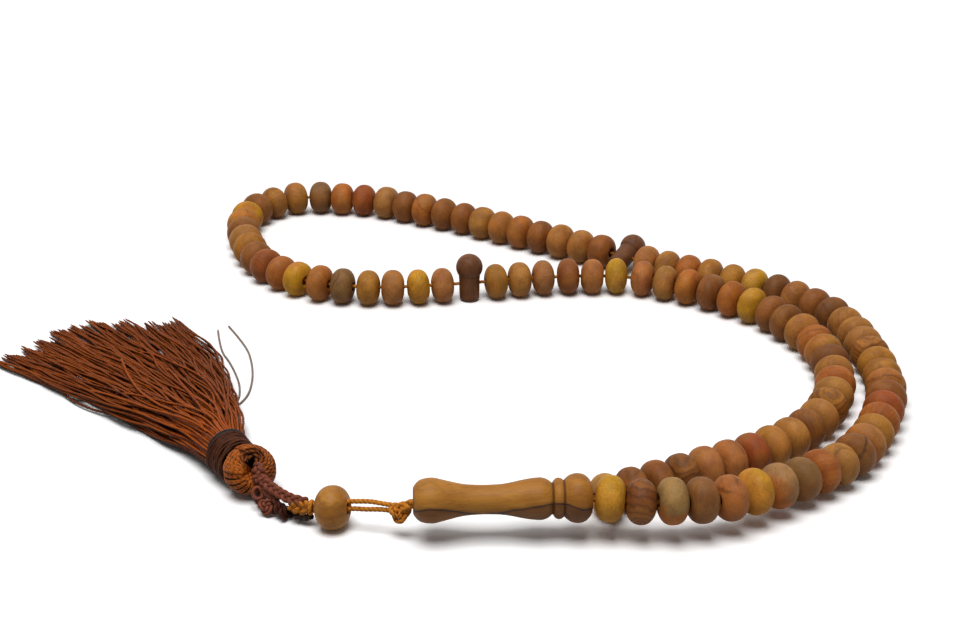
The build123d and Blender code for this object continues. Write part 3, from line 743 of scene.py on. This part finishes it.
def makeStringCord():
    # The route runs from the knot through the imame, along the string's corners, and back to the knot.
    axes = imameAxes
    apart = (cord["wide"] + cord["apart"]) / 2
    knotTop = mouthPlace - axes[0] * (imame["long"] + 0.95) - knotPlace
    knotTop /= np.linalg.norm(knotTop)
    face = knotPlace + knotTop
    across = axes[1] - knotTop * np.dot(axes[1], knotTop)
    across = across / np.linalg.norm(across) * apart
    reach = (mouthPlace[2] - face[2]) / knotTop[2]

    def inImame(along, side):
        return mouthPlace + axes[0] * along + axes[1] * side * apart

    bends = [face + across * side + knotTop * reach for side in (-1, 1)]
    half = imame["long"] / 2
    route = [face - across, bends[0], inImame(-half, -1.01), inImame(-5, -1), corners[0] - axes[1] * 0.7 * apart]
    route += corners[1:-1] + [corners[-1] + runs[-1][2] * 0.64]
    route += [inImame(mouthGap / 2, 1), inImame(-5, 1), inImame(-half, 1.01), bends[1], face + across]
    line = even(readSpline("stringRoute", route), cord["stations"])
    # the cord further along x than the imame's mouth is painted darker: painted shade in the gaps between the beads
    cordShade = np.clip(line[:, 0] - mouthPlace[0], 0, 1) * 0.6
    parts = yarns(line[None], cord["wide"] / 2, cord["lobes"], cord["lay"], cord["sides"], 0.2, extra={"dim": cordShade})
    dress(makeMesh("string_cord", *parts), goldCord, "string", "stringing_cord")


def makeKnot():
    # The knot faces forwards; its stub of two cords, twisted round each other, runs into the imame's bore.
    knot = overhand(0.41, 0.7, 0.4, facing, knotPlace, 0.42, 2.6, 0.14)
    mouth = mouthPlace - towards(imameTurn) * (imame["long"] - 0.4)
    ahead = (mouth - knotPlace) / np.linalg.norm(mouth - knotPlace)
    t = np.linspace(0, 1, 60)[:, None]
    axes = frameAt(ahead)
    wind = 2 * np.pi * 1.1 * t
    line = knotPlace + ahead * 0.9 + (mouth - knotPlace - ahead * 0.9) * t
    pair = [line + 0.4 * (axes[1] * np.cos(wind + s) + axes[2] * np.sin(wind + s)) for s in (0, np.pi)]
    stub = yarns(np.array(pair), 0.46, 3, 2.6, 12, 0.14, np.array(pair) - line + 0.001)
    dress(makeMesh("overhand_knot", *joined(knot, stub)), goldCord, "string", "end_knot")


def makeTailStrands():
    # Two strands side by side that arch and sway a little between the bead and the knot.
    reach = np.dot(knotPlace - tailStart, tailAxes[0])
    x = np.linspace(-1.5, reach - 0.6, 90)
    share = np.clip((x - 1) / (reach - 1), 0, 1)
    lines = []
    for side, arch in ((-1, 0.3), (1, 0.8)):
        wave = 0.07 * np.sin(x * 1.3 + side)
        high = side * 0.44 * (1 - 0.12 * share) + arch * np.sin(np.pi * share) ** 1.2
        lines.append(np.stack([x, 0.12 * side + wave, high], 1))
    parts = yarns(onTail(np.array(lines)), 0.44, cord["lobes"], cord["lay"], 12, 0.15)
    dress(makeMesh("tail_cords", *parts), goldCord, "string", "tail_strands")


whipping = {"long": 4.5, "tip": -4.45, "end": -0.3, "wide": 0.82, "thread": 0.5, "repeat": 4.0}


def makeWhipping():
    # A flat plait of three strands with its face forwards, narrow at its tip, and one turn against the bead.
    x = np.linspace(whipping["tip"], whipping["end"], 150)
    taper = 0.35 + 0.65 * np.clip((x + whipping["long"]) / 1.7, 0, 1) ** 0.8
    line = onTail(np.stack([x, 0 * x, 0.1 * np.sin(x)], 1))
    across = np.cross(tailAxes[0], (0, -0.92, 0.39))
    plaited = plait(line, across, whipping["wide"] * taper, whipping["thread"] * taper ** 0.4, whipping["repeat"])
    t = circle(70)
    ring = onTail(np.stack([-0.5 + 0.16 * np.sin(t), 0.86 * np.cos(t), 1.0 * np.sin(t)], 1))
    turn = yarns(ring[None], 0.38, 3, 2.2, 12, 0.14, (ring - onTail([-0.5, 0, 0]))[None], closed=True)
    # a core under the plait, painted dark as the shade between its strands
    core = onTail(np.stack([np.linspace(-4.3, 0, 20), np.zeros(20), np.zeros(20)], 1))
    heart = yarns(core[None], np.linspace(0.3, 0.85, 20)[None], 3, 3, 12, 0.1, extra={"dim": 0.6})
    piece = makeMesh("whipped_winding", *joined(plaited, turn, heart))
    dress(piece, goldCord, "string", "whipped_knot")


burntEnd = {"tip": -3.7, "long": 3.5, "under": -1.72, "thick": 0.74}


def makeBurntEnd():
    # A short lumpy stub under the whipping: its radius is a sine to a power, times two finer waves.
    shader = Shader("scorchedCordEnd")
    place = shader.place()
    lumps = shader.noise(place, 1.6, 4.0, 0.6)
    fine = shader.noise(place, 6.0, 3.0, 0.6)
    colour = shader.mixed(lumps.ramp(0.42, 0.62), tint(22, 15, 12), tint(58, 38, 26))
    # small lighter flecks: painted highlights
    colour = shader.mixed(fine.ramp(0.6, 0.7) * 0.25, colour, tint(76, 58, 44))
    height = shader.bump(lumps + fine * 0.4, 0.12)
    burnt = shader.finish(Base_Color=colour, Roughness=fine * 0.4 + 0.35, Specular_IOR_Level=0.12, Normal=height)
    t = np.linspace(0, 1, 34)
    along = burntEnd["tip"] + burntEnd["long"] * t
    line = np.stack([along, 0.1 * np.sin(7 * t) - 0.25, burntEnd["under"] + 0.08 * np.sin(9 * t)], 1)
    size = burntEnd["thick"] * np.sin(np.pi * np.clip(t * 0.93 + 0.05, 0, 1)) ** 0.45
    size = size * (1 + 0.13 * np.sin(23 * t) + 0.09 * np.sin(41 * t))
    parts = yarns(onTail(line)[None], size[None], 2, 5.5, 16, 0.28)
    dress(makeMesh("scorched_end", *parts), burnt, "string", "cord_end")


smallBead = {"wide": 7.5, "thick": 5.8, "bore": 2.0, "along": 3.3, "sides": 52}
smallWood = makeWood("smallBeadWood", 1.5, tint(86, 54, 28), 0.7, 0.44)


def makeSmallBead():
    # The outline is powers of a sine and a cosine; the bore's edges are eased.
    half, radius, bore = smallBead["thick"] / 2, smallBead["wide"] / 2, smallBead["bore"] / 2
    angle = np.linspace(-1.27, 1.27, 27)
    outer = np.stack([half * 1.02 * np.sign(angle) * np.abs(np.sin(angle)) ** 0.9, radius * np.cos(angle) ** 0.87], 1)
    inner = [(half - 0.04, bore + 0.3), (half - 0.2, bore + 0.08), (half - 0.6, bore), (0, bore)]
    points, quads = spin(np.vstack([outer, throughBore(inner)]), smallBead["sides"], True)
    grain = points @ frameAt((0.2, 0.25, 0.95), (1, 0, 0)).T + np.array([7.5, 1.0, 0])
    kept = woodKept(grain, tint(200, 138, 54)[:3], tint(182, 120, 42)[:3], 1.1, 0.5)
    solid = onTail(points + np.array([smallBead["along"], 0, 0]))
    piece = makeMesh("small_bead_turned", solid, quads, [], kept)
    dress(piece, smallWood, "small_bead", "small_bead")


makeStringCord()
makeKnot()
makeTailStrands()
makeWhipping()
makeBurntEnd()
makeSmallBead()
say("cords, knot, whipping and small bead")

tassel = {"turn": -56, "eye": 2.3, "back": 58.5, "left": 15.15}
headPlace = np.array([mouthPlace[0] - tassel["back"], mouthPlace[1] + tassel["left"], 0.0])
tasselAxes = frameAt(towards(tassel["turn"]))
eye = headPlace + tasselAxes[0] * tassel["eye"]
hangerAxes = frameAt((onTail([-whipping["long"], 0, 0]) - eye) * np.array([1, 1, 0]))


def onHanger(points):  # from the hanger's own frame, at the head's eye
    return np.asarray(points, float) @ hangerAxes + eye


hanger = {"wide": 0.6, "thread": 0.42, "repeat": 4.4, "knotThread": 0.36, "knotLay": 4, "depth": 0.1}
# the braid's way in the hanger's own frame: up through the eye, over the whipping, and back along the table
hangerRoute = [(0, 0, 1.0), (0.2, 0, 5.8), (2.1, -0.2, 7.1), (3.1, -0.4, 5.3), (4.9, -0.5, 5.0), (8.4, -0.1, 4.5),
               (11.2, 0.7, 4.2), (12.5, 1.9, 4.2), (12.2, 3.1, 2.6), (10.4, 1.6, 1.1), (8.2, -0.3, 1.3),
               (5.6, -1.4, 1.4), (2.5, -0.6, 1.0)]


def hangerKnot(size, thick, apart, axes, place, dim=0.0):
    thread, lay, depth = hanger["knotThread"], hanger["knotLay"], hanger["depth"]
    return overhand(size, thick, apart, axes, onHanger(place), thread, lay, depth, {"dim": dim})


def makeHanger():
    # A chain-stitched ring along its route, with a small loop, four knotted lumps and a second strand.
    ring = even(readSpline("hangerRoute", onHanger(hangerRoute), True), 0.12, True)
    local = (ring - eye) @ hangerAxes.T
    # the lower leg is painted darker: partly the cord's own black, partly painted shade near the table
    dim = np.clip((local[:, 0] - 6.6) / 1.2, 0, 1) * np.clip((3.4 - local[:, 2]) / 0.8, 0, 1)
    flat = hangerAxes[1] * 0.35 + np.array([0, 0.36, 0.9])
    braided = plait(ring, flat, hanger["wide"], hanger["thread"], hanger["repeat"], True, extra={"dim": dim})
    side = facing[[1, 2, 0]]
    ball = hangerKnot(0.32, 0.5, 0.32, facing, (6.36, -1.6, 1.75))
    mass = hangerKnot(0.25, 0.4, 0.3, facing[[2, 0, 1]], (2.75, -0.6, 5.1))
    # lumps painted nearly black: partly the cord's own black, partly painted shade
    dark = hangerKnot(0.3, 0.4, 0.3, side, (9.3, -0.2, 1.5), 0.95)
    t = circle(90)[:, None]
    middle = onHanger((3.91, -1.76, 3.3))
    loop = middle + 0.78 * np.sin(t) * facing[0] + 0.95 * np.cos(t) * facing[1]
    small = yarns(loop[None], hanger["thread"], 2, 6, 14, 0.14, (loop - middle)[None], closed=True)
    way = [(3.0, -0.9, 4.4), (4.8, -0.9, 3.7), (6.6, -0.6, 3.2), (7.5, -0.4, 2.7), (7.7, -0.5, 1.7)]
    t = np.linspace(0, 1, 60)
    # darker towards its lower end: partly the cord's own black, partly painted shade
    second = plait(onHanger(smoothLine(way, 60)), facing[1], 0.36, 0.36, 3.6, extra={"dim": 0.25 + 0.65 * t})
    lump = hangerKnot(0.26, 0.35, 0.3, side, (8.1, -0.5, 1.9), 0.9)
    piece = makeMesh("crochet_hanger", *joined(braided, ball, mass, dark, small, second, lump))
    dress(piece, maroonCord, "hanger", "hanger_braid")


makeHanger()
say("hanger")

head = {"reach": 4.3, "high": 4.05, "middle": 4.6, "forward": 0.25, "wrapMiddle": 4.35, "pit": (2.3, 0, 4.1),
        "frontPole": (0.92, -0.16, 0.36), "rim": 29, "rings": 12, "lining": 3, "stations": 90}
# angles of the pairs of yarns from the top down the left side; the first ones end at the pit's rim
rimYarns = [-4, 6, 16]
leftYarns = [26, 37, 48, 60, 74, 91, 108, 125, 142, 158]


def onTassel(points):  # from the tassel's own frame, on the table under the head
    return np.asarray(points, float) @ tasselAxes + headPlace


ballMiddle = np.array([head["forward"], 0, head["middle"]])


def ballPoints(way):  # directions put onto the head's slightly flattened ball
    return way * np.array([head["reach"], head["reach"], head["high"]]) + ballMiddle


def onCircle(centre, radius, forward, out, low, high, t):  # points and angles from low to high
    angles = low + (high - low) * t
    return centre + radius * (np.sin(angles)[:, None] * forward + np.cos(angles)[:, None] * out), angles


def makeHead():
    # Left yarns run over the ball in pairs, on circles through the neck's pole and a front pole under the braid.
    neck, pit = np.array([-1.0, 0, 0]), np.array(head["pit"]) / np.linalg.norm(head["pit"])
    front = np.array(head["frontPole"])
    front /= np.linalg.norm(front)
    chord = (front - neck) / np.linalg.norm(front - neck)
    half = np.linalg.norm(front - neck) / 2
    middle = (front + neck) / 2
    deep = np.linalg.norm(middle)
    outward = middle / deep
    sideways = np.cross(chord, outward)
    t = np.linspace(0, 1, head["stations"])
    paths, thick, dims = [], [], []
    # each yarn's angle, how far it stands out, its radius and how dim it is
    turns = [(turn + side, -0.02 * (k % 3 == 1), 0.3, 0) for k, turn in enumerate(leftYarns) for side in (-2.6, 2.6)]
    turns += [(turn + side, 0.01, 0.32, 0) for turn in rimYarns for side in (-2.5, 2.5)]
    # an inner layer, painted dark as the shade in the gaps between the yarns above
    turns += [(turn, -0.13, 0.44, 0.8) for turn in np.linspace(19, 173, 12)]
    turns += [(turn, 0, 0.36, 0) for turn in np.linspace(-178, -146, 5)]
    for turn, inset, size, dim in turns:
        turn = math.radians(turn + chance.uniform(-0.7, 0.7))
        way = outward * math.cos(turn) + sideways * math.sin(turn)
        centre = middle - way * deep * math.cos(turn)
        radius = math.sqrt(max(1e-6, 1 - np.dot(centre, centre)))
        limit = math.atan2(half, deep * math.cos(turn))
        low, high = -limit + 0.6 / max(radius, 0.5), limit - 0.3 / max(radius, 0.5)
        line, angles = onCircle(centre, radius, chord, way, low, high, t)
        inside = np.flatnonzero(line @ pit > math.cos(math.radians(head["rim"])))
        if abs(turn - math.radians(1)) < math.radians(21) and len(inside):
            line = onCircle(centre, radius, chord, way, low, angles[inside[0]], t)[0]
        sink = 0.98 + inset - 0.5 * np.clip((t - 0.84) / 0.16, 0, 1)[:, None] ** 1.4
        paths.append(ballPoints(line * sink))
        thick.append(size)
        dims.append(dim)
    # Right yarns follow rings about the pit, round the far side of the eye to the front; the inner ones line it and are
    # painted dark, as the pit's shade.
    left = np.array([0, 1.0, 0])
    back = np.cross(pit, left)
    for k in range(-head["lining"], head["rings"]):
        if k < 0:
            azimuth = np.radians(-100 + 286 * t)
            size = np.radians(30 + 4.0 * k + 3.6 * np.sin(3 * azimuth + 2.3 * k))[:, None]
        else:
            azimuth = np.radians(-28 + (216 - 3 * k) * t + 2.5 * k)
            size = np.radians(30 + 9.6 * k + 0 * t)[:, None]
        around = back * np.cos(azimuth)[:, None] + left * np.sin(azimuth)[:, None]
        line = pit * np.cos(size) + around * np.sin(size)
        paths.append(ballPoints(line * (1 + 0.1 * k if k < 0 else 1.02 - 0.012 * (k % 2))))
        thick.append(0.46 if k < 0 else 0.42)
        dims.append(0.7 if k < 0 else 0)
    paths = np.array(paths)
    out = paths - ballMiddle
    thick = np.array(thick)[:, None] * chance.uniform(0.88, 1.06, (len(paths), 1))
    thick = thick * (1 + 0.06 * np.sin(t * 21 + chance.uniform(0, 6, (len(paths), 1))))
    parts = yarns(onTassel(paths), thick, 3, 2.8, 12, 0.15, out @ tasselAxes, extra={"dim": np.array(dims)[:, None]})
    outline = [(-4.6, 2.9), (-3.4, 3.15), (-1.6, 3.2), (-0.4, 2.9), (0.5, 2.3), (1.0, 1.2), (1.15, 0.1)]
    ball, quads = spin(smoothLine(outline, 30), 40, False)
    ball = ball + np.array([0, 0, head["middle"]])
    # a core ball under the yarns, painted dark as the shade in any gaps between them
    flat = np.full(len(ball), 0.3)
    kept = {"groove": flat, "run": flat, "shade": flat, "outward": flat, "dim": flat * 2.2, "bright": flat * 0}
    core = (onTassel(ball), quads, endCaps(40, len(ball)), kept)
    dress(makeMesh("head_yarns", *joined(parts, core)), rustYarn, "tassel", "tassel_head")


neckWinding = {"front": -2.75, "back": -8.05, "rows": 26, "radius": 3.62, "grow": 0.4, "thread": 0.24, "lean": 0.62,
               "under": 0}
neckBand = {"front": -8.0, "back": -9.0, "rows": 4, "radius": 4.12, "grow": 0, "thread": 0.22, "lean": 0.1,
            "under": 0.9}


def windings(name, form, material, node):
    # Turns of thread round the neck, each a little out of true, with a few that cross the rest.
    front, back, rows, radius = (form[key] for key in ("front", "back", "rows", "radius"))
    grow, thread, lean, under = (form[key] for key in ("grow", "thread", "lean", "under"))
    t = circle(120)
    paths, shades = [], []
    for k, x in enumerate(np.linspace(front - thread, back + thread, rows)):
        slope, phase = chance.uniform(-lean, lean) * (2.2 if k % 4 == 1 else 1), chance.uniform(0, 6.28)
        size = radius + grow * k / rows + chance.uniform(-0.1, 0.14) + 0.07 * np.sin(3 * t + phase)
        size = size - under * (0.5 - 0.5 * np.sin(t + 0.7))
        along = np.clip(x + slope * np.sin(t + phase) + 0.1 * np.sin(5 * t + phase), back + thread, front - thread)
        paths.append(np.stack([along, size * np.sin(t), head["wrapMiddle"] + size * np.cos(t)], 1))
        shades.append(np.clip(0.4 * np.sin(2 * t + phase) + chance.uniform(-0.2, 0.35), 0, 1))
    paths = np.array(paths)
    paths[:, :, 2] = np.maximum(paths[:, :, 2], thread + 0.02)
    out = paths - np.array([0, 0, head["wrapMiddle"]])
    out[:, :, 0] = 0
    kept = {"bright": np.array(shades)}
    parts = yarns(onTassel(paths), thread, 2, 2.2, 8, 0.1, out @ tasselAxes, closed=True, extra=kept)
    dress(makeMesh(name, *parts), material, "tassel", node)


skirt = {"front": -8.75, "yarn": 0.27, "count": 264, "lay": 2.6, "stations": 150, "goldenAngle": 2.399963}
# the tufts' edges as shares of the width, how far each tuft's tip reaches on, and how tightly it gathers
tuftEdges = np.array([-1, -0.9, -0.7, -0.61, -0.46, -0.3, -0.21, -0.04, 0.1, 0.17, 0.35, 0.44, 0.6, 0.72, 0.79,
                      0.92, 1.0])
tuftPull = np.array([3.4, 0, -2.5, -0.5, 0.8, -1.8, 0.8, -0.4, -1.6, 0.6, -1.2, 0.2, -1.4, 0.4, -0.8, 0.8])
tuftTight = np.array([0.9, 0.5, 0.7, 0.4, 0.6, 0.8, 0.3, 0.5, 0.7, 0.3, 0.6, 0.3, 0.5, 0.7, 0.3, 0.4])
# how far behind the front, then left edge, right edge and height
skirtSections = np.array([(-3, -3.6, 3.6, 8.4), (0, -4.0, 4.0, 8.6), (9, -4.5, 8.0, 7.2), (22.6, -6.3, 13.2, 4.8),
                          (44.4, -12.7, 20.4, 2.6), (77.4, -22.4, 23.2, 1.3)])
# how far behind the front the yarns end, from the left edge to the right
tipLine = np.array([(-22.4, 66), (-17.7, 70), (-13.8, 71.4), (-7.8, 72.6), (-2.9, 75.6), (2.8, 77.4), (7, 76.4),
                    (10, 74), (12.7, 72.8), (16.6, 69.6), (19.7, 68.6), (22.9, 66.6)])
# yarns that stray over the rest, in the tassel's own frame
strayWays = [[(-22.9, 2.6), (-36.8, 5.1), (-50.1, 5.9), (-62.6, 9.3)], [(-62.7, 2.8), (-51.4, -0.3), (-41.6, -2.1)],
             [(-21.8, 4.1), (-34.2, 4.9), (-53.1, 8.3)], [(-22.7, 6.6), (-38.7, 10.2), (-52, 9.6), (-64, 7.5)],
             [(-61.3, 2.2), (-41.6, -2.1), (-26.0, -2.0), (-15.5, -0.9)], [(-14, 1.5), (-27, 0.6), (-46, -5.5)],
             [(-13, -1.5), (-30, -4.4), (-52, -9.5)], [(-14, 3.0), (-26, 8.2), (-44, 12.0)]]


def makeSkirt():
    # Each yarn keeps its share of the section's width and height, wanders about it, and gathers into a tuft.
    count = skirt["count"]
    k = np.arange(count) + 0.5
    ring = np.sqrt(k / count) * 0.97
    turn = k * skirt["goldenAngle"]
    a, b = ring * np.cos(turn), ring * np.sin(turn)
    spread = (np.arcsin(a) + a * np.sqrt(1 - a**2)) * 2 / np.pi
    layer = (b / np.sqrt(1 - a**2) + 1) / 2
    t = np.linspace(0, 1, skirt["stations"])[None, :]
    which = np.clip(np.searchsorted(tuftEdges, spread) - 1, 0, len(tuftEdges) - 2)
    tuft, apart = (tuftEdges[which] + tuftEdges[which + 1]) / 2, spread - tuftEdges[which]
    apart = apart / (tuftEdges[which + 1] - tuftEdges[which]) * 2 - 1
    far = skirtSections[:, 0]
    sideTip = 0.4 + 22.8 * np.clip(spread, -0.99, 0.99)
    reach = np.interp(sideTip, tipLine[:, 0], tipLine[:, 1]) + tuftPull[which]
    reach += 1.4 - 2.4 * np.abs(apart + 0.3) ** 1.5 - chance.random(count) ** 2 * 5
    behind = -2.2 + (reach + 2.2)[:, None] * t
    left, right = np.interp(behind, far, skirtSections[:, 1]), np.interp(behind, far, skirtSections[:, 2])
    high = np.interp(behind, far, skirtSections[:, 3])
    ease = np.clip(behind / 24, 0, 1)
    ease = ease * ease * (3 - 2 * ease)
    gather = tuftTight[which][:, None] * np.clip((t - 0.62) / 0.38, 0, 1) ** 1.6
    tip = spread[:, None] * (1 - gather) + tuft[:, None] * gather
    acrossShare = a[:, None] * (1 - ease) + tip * ease
    r = skirt["yarn"]
    wave = chance.uniform(0, 6.28, (count, 3))
    swing = 0.8 * np.sin(behind / 7.5 + wave[:, :1]) + 0.35 * np.sin(behind / 3.1 + wave[:, 1:2])
    swing = np.clip(behind / 12, 0, 1) * swing
    side = (left + right) / 2 + ((right - left) / 2 - r) * acrossShare + swing * 0.85 * (1 - gather * 0.8)
    rounded = high / 2 * (1 + b[:, None] * 0.93)
    laid = r + (high - 2 * r) * np.clip(layer[:, None], 0, 1)
    up = rounded * (1 - ease) + laid * ease + 0.16 * np.sin(behind / 4.1 + wave[:, 2:]) * ease
    up = np.maximum(up, r + 0.03)
    paths = np.stack([skirt["front"] - behind, side, up], -1)
    taper = r * (1 - 0.12 * t) * np.clip((1 - t) * 40 + 0.35, 0, 1)
    # painted highlight: lighter near the neck, less so towards the right edge
    bright = np.clip(1.25 - behind / 26, 0, 1) * np.clip(1.4 - spread[:, None], 0, 1)
    # darker towards the right edge, and painted shade in the lower layers under the yarns above
    dim = 0.35 * np.clip(spread[:, None] * 2 - 0.9, 0, 1) * ease + 0.3 * np.clip(0.5 - layer[:, None], 0, 1) * ease
    over = []
    for way in strayWays:
        line = smoothLine(way, skirt["stations"])
        behind = skirt["front"] - line[:, 0]
        lift = np.interp(behind, far, skirtSections[:, 3]) + 0.15 - 1.2 * np.abs(2 * t[0] - 1) ** 6
        over.append(np.column_stack([line, lift]))
    for name, chosen in zip(("under", "lower", "middle", "upper"), np.array_split(np.argsort(layer), 4)):
        kept = {"bright": bright[chosen], "dim": dim[chosen]}
        parts = [yarns(onTassel(paths[chosen]), taper, 3, skirt["lay"], 6, 0.26, extra=kept)]
        if name == "upper":
            parts.append(yarns(onTassel(over), taper * 1.1, 3, skirt["lay"], 6, 0.26, extra={"bright": 0.7}))
        dress(makeMesh("skirt_yarns_" + name, *joined(*parts)), rustSkirt, "tassel", "tassel_skirt")


strayWide = 0.45
threadRoutes = [
    [(-31.5, 12.4), (-33.4, 16.3), (-40.9, 21.5), (-48.8, 25.3), (-57.2, 28.2), (-68.3, 29.7)],
    [(-31.0, 11.6), (-34.1, 15.0), (-39.0, 17.7), (-43.4, 19.4), (-51.3, 21.6), (-57.9, 22.6), (-67.6, 26.8)],
]


def makeStrays():
    # Two loose threads that lie on the table beside the skirt.
    shader = Shader("strayThread")
    place = shader.place()
    fine = shader.noise(place, 7.0, 3.0, 0.6)
    soft = shader.noise(place, 0.4, 2.0, 0.5)
    colour = shader.mixed(fine.ramp(0.3, 0.7), tint(104, 88, 78), tint(158, 142, 130))
    colour = shader.mixed(soft.ramp(0.4, 0.6) * 0.5, colour, tint(126, 88, 64))
    material = shader.finish(Base_Color=colour, Roughness=fine * 0.3 + 0.5, Normal=shader.bump(fine, 0.03))
    for k, line in enumerate(threadRoutes):
        route = onTassel([(x, y, strayWide / 2) for x, y in line])
        points = even(readSpline("strayRoute", route), 0.2)
        parts = yarns(points[None], strayWide / 2, 2, 1.5, 8, 0.2)
        piece = makeMesh("stray_thread_%d" % (k + 1), *parts)
        dress(piece, material, "tassel", "loose_threads")
        length = float(np.linalg.norm(np.diff(points, axis=0), axis=1).sum())


makeHead()
windings("neck_winding", neckWinding, brownThread, "neck_wrap")
windings("neck_band_threads", neckBand, blackThread, "neck_band")
makeSkirt()
makeStrays()
say("tassel")
